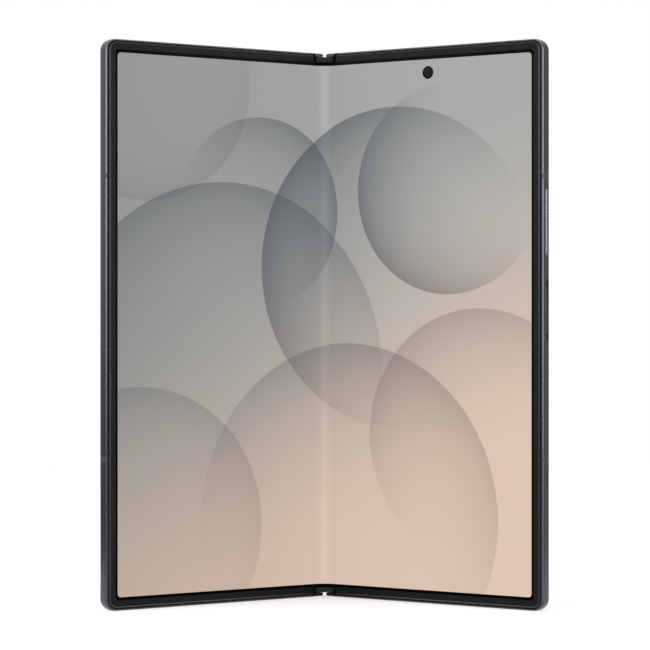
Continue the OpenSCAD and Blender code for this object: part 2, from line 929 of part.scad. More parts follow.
ring_step = 0.25;
module camera_lens_rings() {
    y0 = body_t + island_proud;
    color(steel) on_right() for (z = lens_z)
        difference() {
            union() {
                peg(island_x, z, ring_r, y0, y0 + ring_proud - ring_step);
                peg(island_x, z, ring_r - ring_step, y0, y0 + ring_proud);
            }
            peg(island_x, z, lens_r + seat_gap, 0, y0 + 2);
        }
}

lens_glass_t = 0.6;
lens_sunk = 0.2;
lens_front = body_t + island_proud + ring_proud - lens_sunk - lens_glass_t;
lens_barrel_in = 0.6;
lens_box_half = 5.6;

module camera_lens_glasses() {
    color(black) on_right() for (z = lens_z)
        peg(island_x, z, lens_r, lens_front, lens_front + lens_glass_t);
}

module camera_modules() {
    color(dark) on_right() for (z = lens_z) {
        block(island_x - lens_box_half, island_x + lens_box_half, mid_back,
            glass_front - 2 * seat_gap, z - lens_box_half, z + lens_box_half);
        peg(island_x, z, lens_r - lens_barrel_in, glass_front - 3 * seat_gap, lens_front);
    }
}

module flash_led() {
    color([0.9, 0.87, 0.75]) on_right()
        peg(flash_x, flash_z, flash_r, glass_front - flash_t, body_t);
}

module inner_camera() {
    z = body_h - eye_down;
    color(black) on_right() {
        peg(eye_out, z, eye_d / 2 - seat_gap, panel_deep + eye_sunk, panel_back + seat_gap);
        peg(eye_out, z, eye_d / 2 + eye_collar, panel_back + seat_gap, glass_front - eye_back);
    }
}

// =====================================================================================
// Inside
// =====================================================================================

rim_gap = 1.5;
battery_x0 = arm_out + rim_gap;
battery_z0 = island_z0 - battery_gap - battery_h;
battery_r = 2;
battery_air = 0.17;
board_gap = 3;
board_z0 = battery_z0 + battery_h + board_gap;
board_top = body_h - wall_t - rim_gap;
board_x1 = island_x - island_r - rim_gap;
board_r = 1;
shield_side = 2;
shield_up = 3;
shield_r = 0.8;
tall_shield_w = 15;
tall_shield_down = 14;
wide_shield_h = 23;
left_shield_h = 27;
left_board_x0 = tray_out + tray_w / 2 + 2;
left_board_x1 = half_w - 4;
left_board_down = 8;

module battery(back) {
    slab(mid_back, back)
        round_plan(battery_x0, battery_x0 + battery_w, battery_z0, battery_z0 + battery_h,
            battery_r);
}

module left_battery() {
    color(cell_grey) on_left() battery(glass_front - cover_panel_t - battery_air);
}

module right_battery() {
    color(cell_grey) on_right() battery(mid_back + battery_t);
}

module main_board() {
    color(board_green) on_right() difference() {
        slab(mid_back, mid_back + board_t)
            round_plan(battery_x0, board_x1, board_z0, board_top, board_r);
        peg(eye_out, body_h - eye_down, eye_d / 2 + 2 * eye_gap, 0, body_t);
    }
}

module main_board_shields() {
    y0 = mid_back + board_t;
    x0 = battery_x0 + shield_side;
    x1 = x0 + tall_shield_w;
    z0 = board_z0 + shield_up;
    color(steel) on_right() slab(y0, y0 + shield_t) {
        round_plan(x0, x1, z0, board_top - tall_shield_down, shield_r);
        round_plan(x1 + shield_side, board_x1 - shield_side, z0, z0 + wide_shield_h, shield_r);
    }
}

module left_board() {
    color(board_green) on_left() difference() {
        slab(mid_back, mid_back + board_t)
            round_plan(left_board_x0, left_board_x1, board_z0, board_top - left_board_down,
                board_r);
        peg(cover_eye_x, cover_eye_z, cover_eye_r + eye_gap, 0, body_t);
    }
}

module left_board_shield() {
    y0 = mid_back + board_t;
    z0 = board_z0 + shield_up;
    color(steel) on_left() slab(y0, y0 + shield_t)
        round_plan(left_board_x0 + shield_side, left_board_x1 - shield_side / 2, z0,
            z0 + left_shield_h, shield_r);
}

box_r = 0.8;
earpiece_half = 6;
earpiece_side = 1.5;
earpiece_mid = cover_eye_x + cover_eye_r + earpiece_side + earpiece_half;
earpiece_h = 8;
earpiece_t = 1.8;

module earpiece_speaker() {
    color(dark) on_left()
        slab(mid_back, mid_back + earpiece_t)
            round_plan(earpiece_mid - earpiece_half, earpiece_mid + earpiece_half,
                body_h - wall_t - earpiece_h, body_h - wall_t, box_r);
}

usb_board_half = 6;
speaker_side = 0.5;
speaker_half = 5.3;
speaker_mid = port_out + usb_board_half + speaker_side + speaker_half;
speaker_t = 2;
speaker_gap = 4;

// The loudspeaker stands beside the port and fills the space below the battery
module loudspeaker() {
    color(dark) on_right()
        slab(mid_back, mid_back + speaker_t)
            round_plan(speaker_mid - speaker_half, speaker_mid + speaker_half, wall_t,
                battery_z0 - speaker_gap, box_r);
}

motor_x0 = battery_x0 + 6;
motor_w = 12;
motor_h = 9;
motor_t = 1.8;
motor_gap = 1;
motor_z0 = battery_z0 - motor_gap - motor_h;

module vibration_motor() {
    color(steel) on_left()
        slab(mid_back, mid_back + motor_t)
            round_plan(motor_x0, motor_x0 + motor_w, motor_z0, motor_z0 + motor_h, box_r);
}

magnet_w = 2.2;
magnet_t = 1.4;
magnet_h = 12;
magnet_up = 60;

module magnets() {
    for (z = [mid_z - magnet_up, mid_z + magnet_up])
        block(half_w - wall_t - magnet_w, half_w - wall_t, mid_back, mid_back + magnet_t,
            z - magnet_h / 2, z + magnet_h / 2);
}

module left_magnets() {
    color(steel) on_left() magnets();
}

module right_magnets() {
    color(steel) on_right() magnets();
}

coil_t = 0.25;
coil_r = 22;
coil_hole_r = 11;

module charging_coil() {
    x = battery_x0 + battery_w / 2;
    z = battery_z0 + battery_h / 2;
    y0 = mid_back + battery_t;
    color(copper) on_right() difference() {
        peg(x, z, coil_r, y0, y0 + coil_t);
        peg(x, z, coil_hole_r, 0, body_t);
    }
}

port_back_t = 0.4;
tongue_w = 6.7;
tongue_t = 0.7;
tongue_in = 1.4;

module usb_port() {
    color(steel) on_right() {
        difference() {
            rise(seat_gap, port_len)
                oval(port_w + 2 * port_wall, port_h + 2 * port_wall, port_out, port_centre);
            rise(-1, port_len - port_back_t) oval(port_w, port_h, port_out, port_centre);
        }
        rise(tongue_in, port_len)
            translate([port_out - tongue_w / 2, port_centre - tongue_t / 2])
                square([tongue_w, tongue_t]);
    }
}

usb_board_lift = 1;
usb_board_gap = 2;

module usb_board() {
    y0 = mid_back + usb_board_lift;
    color(board_green) on_right()
        slab(y0, y0 + board_t)
            round_plan(port_out - usb_board_half, port_out + usb_board_half,
                port_len + seat_gap, battery_z0 - usb_board_gap, board_r);
}

mic_t = 1.1;
mic_h = 1.45;
mic_w = 3;

module mic_pack(x, z0) {
    block(x - mic_w / 2, x + mic_w / 2, mid_back, mid_back + mic_t, z0, z0 + mic_h);
}

module left_microphone() {
    color(gold) on_left() mic_pack(mic_x[0], wall_t);
}

module right_microphones() {
    color(gold) on_right() for (z0 = [wall_t, body_h - wall_t - mic_h])
        mic_pack(mic_x[1], z0);
}

socket_wall = 0.6;
socket_side = 1;
socket_back_t = 0.4;
socket_end_gap = 0.1;
socket_mouth = 1;

module card_socket() {
    x0 = tray_out - tray_w / 2 - socket_side;
    x1 = tray_out + tray_w / 2 + socket_side;
    z0 = body_h - wall_t - tray_len - socket_end_gap - socket_back_t;
    z1 = body_h - wall_t - socket_mouth;
    roof = tray_deep + tray_t / 2 + tray_gap;
    color(steel) on_left() difference() {
        block(x0, x1, mid_back, roof + socket_wall - tray_gap, z0, z1);
        block(x0 + socket_wall, x1 - socket_wall, mid_back - 1, roof, z0 + socket_back_t, z1 + 1);
    }
}

tray_side = 0.4;
tray_lap = 0.2;
card_w = 9;
card_deep = 0.9;
card_end = 2;
card_start = 4;

module sim_tray() {
    front = tray_deep - tray_t / 2;
    back = tray_deep + tray_t / 2;
    z0 = body_h - wall_t - tray_len;
    color(metal) on_left() {
        rise(body_h - wall_t, body_h - seat_gap) oval(tray_w, tray_t, tray_out, tray_deep);
        difference() {
            block(tray_out - tray_w / 2 + tray_side, tray_out + tray_w / 2 - tray_side,
                front, back, z0, body_h - wall_t + tray_lap);
            block(tray_out - card_w / 2, tray_out + card_w / 2, back - card_deep, back + 1,
                z0 + card_end, body_h - wall_t - card_start);
        }
    }
}

// =====================================================================================
// Keys
// =====================================================================================

key_foot_t = 0.2;
key_foot_side = 0.5;
key_foot_in = 0.35;
key_back = half_w - wall_t - key_foot_in;

// Key with round ends, from the switch side out to x1, with a wider foot that traps it
module key_body(len, z, x1) {
    rise(z - len / 2 + key_w / 2, z + len / 2 - key_w / 2)
        translate([key_back, key_deep - key_w / 2]) square([x1 - key_back, key_w]);
    for (dz = [-1, 1])
        translate([key_back, key_deep, z + dz * (len - key_w) / 2])
            rotate([0, 90, 0]) cylinder(h = x1 - key_back, r = key_w / 2);
    block(key_back, key_back + key_foot_t, mid_back + key_gap, key_deep + key_w / 2,
        z - len / 2 - key_foot_side, z + len / 2 + key_foot_side);
}

module volume_rocker() {
    color(metal) on_right() {
        key_body(rocker_len, mid_z + rocker_up, half_w + rocker_proud);
        rocker_pivot(pivot_r, pivot_reach);
    }
}

sensor_t = 0.3;
sensor_edge = 0.3;
sensor_half = power_len / 2 - 1;

// Window for the sensor in the power key's face, out to x1
module sensor_window(x1) {
    z = mid_z + power_up;
    reach = key_w / 2 - sensor_edge;
    block(half_w - power_sunk - sensor_t, x1, key_deep - reach, key_deep + reach,
        z - sensor_half, z + sensor_half);
}

module power_key() {
    color(metal) on_right() difference() {
        key_body(power_len, mid_z + power_up, half_w - power_sunk);
        sensor_window(half_w + 1);
    }
}

module fingerprint_sensor() {
    color(black) on_right() sensor_window(half_w - power_sunk);
}

switch_z = [mid_z + rocker_up - rocker_len / 4, mid_z + rocker_up + rocker_len / 4,
    mid_z + power_up];
switch_gap = 0.1;
switch_h = 0.5;
switch_r = 0.8;
switch_front = key_back - key_travel - switch_gap;

module key_switches() {
    color(steel) on_right() for (z = switch_z)
        translate([switch_front - switch_h, key_deep, z]) rotate([0, 90, 0])
            cylinder(h = switch_h, r = switch_r);
}

key_flex_t = 0.2;
key_flex_side = 0.9;
key_flex_down = 10;

module key_flex() {
    back = switch_front - switch_h;
    color(copper) on_right()
        block(back - key_flex_t, back, mid_back, key_deep + key_flex_side,
            mid_z - key_flex_down, mid_z + rocker_up + rocker_len / 2);
}

// =====================================================================================

hinge_cover();
hinge_end_caps();
hinge_carriers();
hinge_pins();
friction_sleeves();
display_fold();
hinge_flex();
left_idler_gears();
right_idler_gears();
left_frame();
left_bezel();
left_display();
left_support_plate();
left_hinge_arms();
left_arm_screws();
left_sync_gears();
left_battery();
left_board();
left_board_shield();
cover_glass();
cover_display();
cover_camera();
earpiece_speaker();
vibration_motor();
left_antenna_breaks();
left_magnets();
card_socket();
sim_tray();
right_frame();
right_bezel();
right_display();
right_support_plate();
right_hinge_arms();
right_arm_screws();
right_sync_gears();
right_battery();
main_board();
main_board_shields();
back_glass();
camera_island();
camera_lens_rings();
camera_lens_glasses();
camera_modules();
flash_led();
inner_camera();
charging_coil();
usb_port();
usb_board();
loudspeaker();
right_antenna_breaks();
right_magnets();
key_flex();
key_switches();
volume_rocker();
power_key();
fingerprint_sensor();
left_microphone();
right_microphones();
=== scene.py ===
"""Looks of a half-open folding phone that stands on its lower edges.

The packed part is the fixed frame. This script dresses its nodes with finishes and adds the pieces
that only the looks need: the curved screen strip, the soft bezels, the rounded keys, the camera
optics and the flash window.
Sizes in the meshes are millimetres, drawn flat: `out` runs from the fold line to the outer edge,
`deep` from the screen's side to the back and `up` along the fold.
"""

import json
import math
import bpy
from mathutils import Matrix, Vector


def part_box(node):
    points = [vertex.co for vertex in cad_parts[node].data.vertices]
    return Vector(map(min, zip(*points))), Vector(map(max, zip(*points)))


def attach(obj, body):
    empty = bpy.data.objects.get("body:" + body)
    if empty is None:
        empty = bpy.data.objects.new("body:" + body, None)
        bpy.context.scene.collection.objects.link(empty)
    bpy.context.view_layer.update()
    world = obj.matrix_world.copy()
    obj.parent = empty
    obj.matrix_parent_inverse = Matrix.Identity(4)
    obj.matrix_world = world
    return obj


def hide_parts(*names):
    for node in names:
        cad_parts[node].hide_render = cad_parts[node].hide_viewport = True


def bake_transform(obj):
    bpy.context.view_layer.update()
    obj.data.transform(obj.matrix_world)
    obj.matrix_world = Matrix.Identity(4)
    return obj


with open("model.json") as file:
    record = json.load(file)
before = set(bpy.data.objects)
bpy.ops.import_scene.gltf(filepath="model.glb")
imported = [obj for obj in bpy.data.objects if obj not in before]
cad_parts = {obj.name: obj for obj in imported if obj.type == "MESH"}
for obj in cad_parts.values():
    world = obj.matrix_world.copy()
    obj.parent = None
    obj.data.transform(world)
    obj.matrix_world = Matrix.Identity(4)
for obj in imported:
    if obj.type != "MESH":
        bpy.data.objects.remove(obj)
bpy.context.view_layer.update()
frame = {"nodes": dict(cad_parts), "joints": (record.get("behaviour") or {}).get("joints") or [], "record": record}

from types import SimpleNamespace

import bmesh
import bpy
from bpy.props import FloatProperty, FloatVectorProperty, IntProperty, PointerProperty
from mathutils import Matrix, Vector

bl_info = {
    "name": "Folding phone looks",
    "version": (1, 0, 0),
    "blender": (4, 5, 0),
    "location": "3D View > Sidebar > Phone",
    "description": "Finishes, screen, bezels, cameras and stage of a folding phone",
    "category": "Object",
}

MM = 0.001
SIDES = {"left": -1.0, "right": 1.0}
WHITE = (1.0, 1.0, 1.0, 1.0)
BLACK = (0.0, 0.0, 0.0, 1.0)


# =====================================================================================
# Settings
# =====================================================================================


def length(name, description, millimetres):
    """A length that is written in millimetres and kept in metres, as Blender shows it"""
    return FloatProperty(
        name=name,
        description=description,
        default=millimetres * MM,
        min=0.0,
        soft_max=0.2,
        precision=5,
        subtype="DISTANCE",
        unit="LENGTH",
    )


def light_power(name, description, watts):
    return FloatProperty(
        name=name, description=description, default=watts, min=0.0, subtype="POWER", unit="POWER"
    )


def colour(name, description, red, green, blue):
    return FloatVectorProperty(
        name=name,
        description=description,
        subtype="COLOR",
        size=3,
        min=0.0,
        max=1.0,
        default=[to_linear(value) for value in (red, green, blue)],
    )


def to_linear(value):
    """Linear light of one channel that is written as it looks on a display, 0 to 255."""
    share = value / 255
    return share / 12.92 if share <= 0.04045 else ((share + 0.055) / 1.055) ** 2.4


def in_millimetres(settings):
    """The values of a group of settings, with its lengths in millimetres"""
    values = {name: getattr(settings, name) for name in type(settings).__annotations__}
    for name in values:
        if settings.bl_rna.properties[name].unit == "LENGTH":
            values[name] /= MM
    return SimpleNamespace(**values)


class PhoneShape(bpy.types.PropertyGroup):
    """Sizes that the dressed pieces share with the construction"""

    body_height: length("Body height", "Height of each half along the fold", 158.7)
    half_width: length("Half width", "From the fold line to the outer edge", 72.2)
    body_depth: length("Body depth", "Thickness of each half", 4.2)
    corner: length("Corner radius", "Radius of the outer corners", 3.3)
    open_angle: FloatProperty(
        name="Open angle",
        description="Angle between the two halves at rest",
        default=math.radians(115),
        subtype="ANGLE",
        unit="ROTATION",
    )
    axis_deep: length("Axis depth", "Hinge axes below the frame's front", 1.6)
    panel_deep: length("Panel depth", "Screen face below the frame's front", 0.2)
    panel_thick: length("Panel thickness", "Thickness of the flexible screen", 0.6)
    panel_edge: length("Panel edge", "Screen edge from the frame's edge", 2.8)
    fold_half: length("Fold half", "Half of the width that stays flexible", 4.2)
    plate_deep: length("Plate depth", "Level of the mid plate's front", 0.93)
    bezel_seam: length("Bezel seam", "Outer edge of the soft bezel", 0.8)
    bezel_side: length("Bezel side", "Inner edge of the bezel at the side", 3.02)
    bezel_end: length("Bezel end", "Inner edge of the bezel at the ends", 2.9)
    bezel_from: length("Bezel start", "Where the bezel starts beside the fold", 4.45)
    lens_radius: length("Lens radius", "Radius of a rear lens", 5.0)
    lens_deep: length("Lens depth", "Outer face of a rear lens from the frame's front", 6.3)
    lens_thick: length("Lens thickness", "Thickness of a rear lens", 0.6)


class PhoneScreen(bpy.types.PropertyGroup):
    """What the lit screen shows: a soft gradient with overlapping translucent discs"""

    dark_side: length("Side border", "Dark border at the side", 3.65)
    dark_end: length("End border", "Dark border at the ends", 3.77)
    lit_corner: length("Lit corner", "Corner radius of the lit area", 1.0)
    cool: colour("Cool", "Colour of the picture's upper part", 163, 164, 162)
    warm: colour("Warm", "Colour of the picture's lower part", 214, 190, 173)
    shade_cool: colour("Cool shade", "Deepest shade of the upper discs", 84, 90, 98)
    shade_warm: colour("Warm shade", "Deepest shade of the lower discs", 146, 128, 118)
    glow: FloatProperty(
        name="Glow", description="Strength of the lit screen", default=1.0, min=0.0
    )


class PhoneStage(bpy.types.PropertyGroup):
    """Camera, floor and light"""

    distance: FloatProperty(
        name="Camera distance",
        description="From the camera to the hinge axes",
        default=0.6981,
        unit="LENGTH",
        subtype="DISTANCE",
    )
    lens: FloatProperty(
        name="Lens",
        description="Focal length of the camera",
        default=132.09,
        min=1.0,
        subtype="DISTANCE_CAMERA",
        unit="CAMERA",
    )
    shift: FloatProperty(
        name="Shift", description="Sideways shift of the camera", default=0.0006
    )
    rise: FloatProperty(
        name="Rise", description="Upward shift of the camera", default=-0.0003
    )
    ambient: FloatProperty(
        name="Ambient", description="Even light from all around", default=0.35, min=0.0
    )
    studio: FloatProperty(
        name="Studio", description="How bright the room before the phone is", default=0.2
    )
    key: light_power("Key light", "Power of the soft light overhead", 15.0)
    fill: light_power("Fill light", "Power that both soft boxes in front are set from", 3.5)
    left_strip: light_power("Left strip light", "Power of the strip at the left", 11.0)
    right_strip: light_power("Right strip light", "Power of the strip at the right", 10.5)


# =====================================================================================
# Node helpers
# =====================================================================================


class Wiring:
    """Adds nodes to a node tree and joins them"""

    def __init__(self, tree):
        self.tree = tree

    def add(self, kind, **settings):
        made = self.tree.nodes.new(kind)
        for name, value in settings.items():
            setattr(made, name, value)
        return made

    def put(self, socket, value):
        if isinstance(value, bpy.types.NodeSocket):
            self.tree.links.new(value, socket)
        else:
            socket.default_value = value

    def math(self, operation, *values, clamp=False):
        made = self.add("ShaderNodeMath", operation=operation, use_clamp=clamp)
        for socket, value in zip(made.inputs, values):
            self.put(socket, value)
        return made.outputs[0]

    def smooth(self, value, low, high, to_low=0.0, to_high=1.0):
        made = self.add("ShaderNodeMapRange", interpolation_type="SMOOTHSTEP")
        for socket, given in zip(made.inputs, (value, low, high, to_low, to_high)):
            self.put(socket, given)
        return made.outputs[0]

    def mix(self, share, first, second, blend="MIX"):
        made = self.add("ShaderNodeMix", data_type="RGBA", blend_type=blend)
        self.put(made.inputs[0], share)
        self.put(made.inputs[6], first)
        self.put(made.inputs[7], second)
        return made.outputs[2]

    def feeding(self, socket):
        """The output that feeds an input so far"""
        return socket.links[0].from_socket

    def squares(self, first, second):
        """Sum of the squares of two values"""
        return self.math("ADD", self.math("MULTIPLY", first, first),
                         self.math("MULTIPLY", second, second))

    def grey(self, value):
        """A colour with one value in all its channels"""
        return self.join(value, value, value)

    def split(self, vector):
        made = self.add("ShaderNodeSeparateXYZ")
        self.put(made.inputs[0], vector)
        return made.outputs

    def join(self, x, y, z):
        made = self.add("ShaderNodeCombineXYZ")
        for socket, value in zip(made.inputs, (x, y, z)):
            self.put(socket, value)
        return made.outputs[0]

    def place(self):
        """Place on the object, in metres, as the phone stands at rest"""
        return self.add("ShaderNodeTexCoord").outputs["Object"]

    def noise(self, vector, scale, detail=3.0, rough=0.5):
        made = self.add("ShaderNodeTexNoise")
        self.put(made.inputs["Vector"], vector)
        made.inputs["Scale"].default_value = scale
        made.inputs["Detail"].default_value = detail
        made.inputs["Roughness"].default_value = rough
        return made.outputs["Fac"]

    def group(self, name, **values):
        made = self.add("ShaderNodeGroup", node_tree=bpy.data.node_groups[name])
        for label, value in values.items():
            self.put(made.inputs[label.replace("_", " ")], value)
        return made.outputs


def rgba(linear):
    return (*linear, 1.0)


def seen(red, green, blue):
    """Linear colour of one that is written as it looks on a display"""
    return rgba([to_linear(value) for value in (red, green, blue)])


FLOAT = "NodeSocketFloat"
VECTOR = "NodeSocketVector"
COLOUR = "NodeSocketColor"


def start_group(name, inputs, outputs):
    """A new shader group with its wiring, its inputs and its output node"""
    tree = bpy.data.node_groups.new(name, "ShaderNodeTree")
    for label, kind in inputs.items():
        tree.interface.new_socket(label, in_out="INPUT", socket_type=kind)
    for label, kind in outputs.items():
        tree.interface.new_socket(label, in_out="OUTPUT", socket_type=kind)
    wires = Wiring(tree)
    return wires, wires.add("NodeGroupInput").outputs, wires.add("NodeGroupOutput").inputs


def look(slot):
    """Name of the material that this script makes for a slot"""
    return "look_" + slot


def start_material(slot):
    """A new material with its wiring and its Principled shader"""
    made = bpy.data.materials.new(look(slot))
    made.use_nodes = True
    shader = made.node_tree.nodes["Principled BSDF"]
    return made, Wiring(made.node_tree), shader


# =====================================================================================
# Shared effects, as shader groups
# =====================================================================================


def group_flat_place(shape):
    """Turns a place on a standing half back to the open, flat phone, in millimetres"""
    wires, given, result = start_group(
        "Flat place", {"Place": VECTOR, "Side": FLOAT}, {"Out": FLOAT, "Up": FLOAT}
    )
    axis = hinge_axis()
    lean = lean_angle(shape)
    x, y, z = wires.split(given["Place"])
    across = wires.math("SUBTRACT", wires.math("MULTIPLY", x, given["Side"]), axis.x)
    behind = wires.math("SUBTRACT", y, axis.y)
    turned = wires.math(
        "SUBTRACT",
        wires.math("MULTIPLY", across, math.cos(lean)),
        wires.math("MULTIPLY", behind, math.sin(lean)),
    )
    out = wires.math("DIVIDE", wires.math("ADD", turned, axis.x), MM)
    wires.put(result["Out"], wires.math("MULTIPLY", out, given["Side"]))
    wires.put(result["Up"], wires.math("DIVIDE", z, MM))


def group_soft_disc():
    """Shade of one translucent disc: crisp at its rim on the dark side and fading inwards"""
    wires, given, result = start_group(
        "Soft disc",
        {
            "Out": FLOAT,
            "Up": FLOAT,
            "Centre Out": FLOAT,
            "Centre Up": FLOAT,
            "Radius": FLOAT,
            "Dark Side": FLOAT,
            "Fade": FLOAT,
            "Strength": FLOAT,
        },
        {"Shade": FLOAT},
    )
    dx = wires.math("SUBTRACT", given["Out"], given["Centre Out"])
    dz = wires.math("SUBTRACT", given["Up"], given["Centre Up"])
    # a little is added so that nothing is divided by zero in the middle
    away = wires.math("SQRT", wires.math("ADD", wires.squares(dx, dz), 0.01))
    inwards = wires.math("SUBTRACT", given["Radius"], away)
    rim_blur = 0.12
    inside = wires.smooth(inwards, -rim_blur, rim_blur)
    fading = wires.math("EXPONENT", wires.math("DIVIDE", wires.math("MULTIPLY", inwards, -1.0),
                                               given["Fade"]))
    along = wires.math(
        "ADD",
        wires.math("MULTIPLY", dx, wires.math("COSINE", given["Dark Side"])),
        wires.math("MULTIPLY", dz, wires.math("SINE", given["Dark Side"])),
    )
    facing = wires.smooth(wires.math("DIVIDE", along, away), -0.7, 1.0)
    shade = wires.math("MULTIPLY", wires.math("MULTIPLY", inside, fading), facing)
    wires.put(result["Shade"], wires.math("MULTIPLY", shade, given["Strength"]))


# Discs of the picture: centre out, centre up, radius, side of the crisp rim in degrees,
# fade length and strength
DISCS = [
    (-34, 66, 54, 100, 17, 0.55),
    (24, 96, 46, 150, 15, 0.75),
    (42, 118, 30, 215, 10, 0.70),
    (-22, 112, 27, 40, 11, 0.62),
    (8, 24, 50, 70, 15, 0.50),
    (52, 48, 36, 118, 13, 0.42),
    (-62, 22, 40, 55, 13, 0.35),
    (-60, 148, 34, -60, 9, 0.22),
]


def group_picture(shape, screen):
    """The screen's picture by its place on the flat phone, black outside the lit area"""
    wires, given, result = start_group(
        "Screen picture", {"Out": FLOAT, "Up": FLOAT}, {"Color": COLOUR}
    )
    middle = shape.body_height / 2
    half_wide = shape.half_width - screen.dark_side
    half_high = middle - screen.dark_end
    across = wires.math("DIVIDE", given["Out"], half_wide)
    down = wires.math("DIVIDE", wires.math("SUBTRACT", middle, given["Up"]), half_high)
    slant, cool_until, warm_from = 0.45, -0.45, 0.95
    warmth = wires.smooth(wires.math("ADD", down, wires.math("MULTIPLY", across, slant)),
                          cool_until, warm_from)
    base = wires.mix(warmth, rgba(screen.cool), rgba(screen.warm))
    dimmest, brightest = 0.84, 1.1
    side_light = wires.smooth(across, -1.2, 0.9, dimmest, brightest)
    base = wires.mix(1.0, base, wires.grey(side_light), "MULTIPLY")
    clear = 1.0
    for out, up, radius, dark_side, fade, strength in DISCS:
        shade = wires.group(
            "Soft disc",
            Out=given["Out"],
            Up=given["Up"],
            Centre_Out=float(out),
            Centre_Up=float(up),
            Radius=float(radius),
            Dark_Side=math.radians(dark_side),
            Fade=float(fade),
            Strength=float(strength),
        )["Shade"]
        clear = wires.math("MULTIPLY", clear, wires.math("SUBTRACT", 1.0, shade))
    tint = wires.mix(warmth, rgba(screen.shade_cool), rgba(screen.shade_warm))
    picture = wires.mix(clear, tint, base)

    beyond_side = wires.math("SUBTRACT", wires.math("ABSOLUTE", given["Out"]),
                             half_wide - screen.lit_corner)
    beyond_end = wires.math(
        "SUBTRACT",
        wires.math("ABSOLUTE", wires.math("SUBTRACT", given["Up"], middle)),
        half_high - screen.lit_corner,
    )
    over_side = wires.math("MAXIMUM", beyond_side, 0.0)
    over_end = wires.math("MAXIMUM", beyond_end, 0.0)
    corner = wires.math("SQRT", wires.squares(over_side, over_end))
    edge_blur = 0.06
    lit = wires.smooth(corner, screen.lit_corner - edge_blur, screen.lit_corner + edge_blur,
                       1.0, 0.0)
    wires.put(result["Color"], wires.mix(lit, BLACK, picture))


def group_grain():
    """Fine grain of a surface: a value for its tone and a height for its relief"""
    wires, given, result = start_group(
        "Fine grain",
        {"Place": VECTOR, "Stretch": VECTOR, "Fineness": FLOAT},
        {"Tone": FLOAT, "Height": FLOAT},
    )
    stretched = wires.add("ShaderNodeVectorMath", operation="MULTIPLY")
    wires.put(stretched.inputs[0], given["Place"])
    wires.put(stretched.inputs[1], given["Stretch"])
    sized = wires.add("ShaderNodeVectorMath", operation="SCALE")
    wires.put(sized.inputs[0], stretched.outputs[0])
    wires.put(sized.inputs["Scale"], given["Fineness"])
    broad = wires.noise(sized.outputs[0], 0.05, 2.0)
    fine = wires.noise(sized.outputs[0], 1.0, 4.0, 0.65)
    wires.put(result["Tone"], wires.mix(0.5, broad, fine))
    wires.put(result["Height"], fine)


def group_handling():
    """Soft marks that handling leaves on glass and coated metal"""
    wires, given, result = start_group("Handling marks", {"Place": VECTOR}, {"Marks": FLOAT})
    smears = wires.noise(given["Place"], 55.0, 4.0, 0.6)
    touches = wires.noise(given["Place"], 160.0, 2.0, 0.5)
    both = wires.math("MULTIPLY", wires.smooth(smears, 0.45, 0.75), touches)
    wires.put(result["Marks"], both)


# =====================================================================================
# Finishes
# =====================================================================================


def surface(slot, base, metallic, roughness, grain=(1.0, 1.0, 1.0), fineness=3000.0,
            relief=0.02, variety=0.08, spread=0.05, specular=0.5, coat=0.0):
    """A material with fine grain in its colour, gloss and relief"""
    wires, shader = start_material(slot)[1:]
    place = wires.place()
    tone, height = wires.group("Fine grain", Place=place, Stretch=grain, Fineness=fineness)
    marks = wires.group("Handling marks", Place=place)["Marks"]
    low = rgba([channel * (1 - variety) for channel in base[:3]])
    high = rgba([min(1.0, channel * (1 + variety)) for channel in base[:3]])
    wires.put(shader.inputs["Base Color"], wires.mix(tone, low, high))
    gloss = wires.math("MULTIPLY_ADD", tone, 2 * spread, roughness - spread)
    wires.put(shader.inputs["Roughness"], wires.math("MULTIPLY_ADD", marks, spread, gloss))
    bump = wires.add("ShaderNodeBump")
    bump.inputs["Strength"].default_value = relief
    bump.inputs["Distance"].default_value = 0.002 * MM
    wires.put(bump.inputs["Height"], height)
    wires.put(shader.inputs["Normal"], bump.outputs[0])
    shader.inputs["Metallic"].default_value = metallic
    shader.inputs["Specular IOR Level"].default_value = specular
    shader.inputs["Coat Weight"].default_value = coat
    shader.inputs["Coat Roughness"].default_value = 0.08
    return wires, shader


def tint_where(wires, shader, mask, tint):
    """Lays another colour over a finish where the mask is 1"""
    plain = wires.feeding(shader.inputs["Base Color"])
    wires.put(shader.inputs["Base Color"], wires.mix(mask, plain, tint))


def finish_metals():
    wires, shader = surface("frame_metal", seen(73, 74, 81), 1.0, 0.28, fineness=9000.0,
                            relief=0.01)
    # painted shade: the frame's metal is darkened beside the fold, on the front only
    x, y, _ = wires.split(wires.place())
    dark_until, plain_from = 3.6 * MM, 4.2 * MM
    painted_fold_shade = wires.smooth(wires.math("ABSOLUTE", x), dark_until, plain_from, 1.0, 0.0)
    front = hinge_axis().y - 0.5 * MM
    in_front = wires.smooth(y, front, front + MM, 1.0, 0.0)
    tint_where(wires, shader, wires.math("MULTIPLY", painted_fold_shade, in_front), seen(34, 34, 39))
    surface("key_metal", seen(78, 79, 86), 1.0, 0.3, fineness=9000.0, relief=0.01)
    # painted highlight: the rocker takes a lighter copy of the keys' metal, standing in for the light on its
    # crowned face
    surface("rocker_lit_metal", seen(112, 113, 120), 1.0, 0.3, fineness=9000.0, relief=0.01)
    surface("island_metal", seen(66, 67, 75), 1.0, 0.3, fineness=8000.0, relief=0.02)
    surface("steel", seen(170, 172, 176), 1.0, 0.32, (0.05, 1.0, 1.0), 6000.0, 0.1)
    surface("bronze", seen(176, 142, 84), 1.0, 0.28, fineness=5000.0, relief=0.08)
    surface("copper_foil", seen(186, 120, 78), 1.0, 0.35, (1.0, 1.0, 0.2), 4000.0, 0.12)
    surface("magnet", seen(176, 178, 182), 1.0, 0.2, fineness=2500.0, relief=0.04)


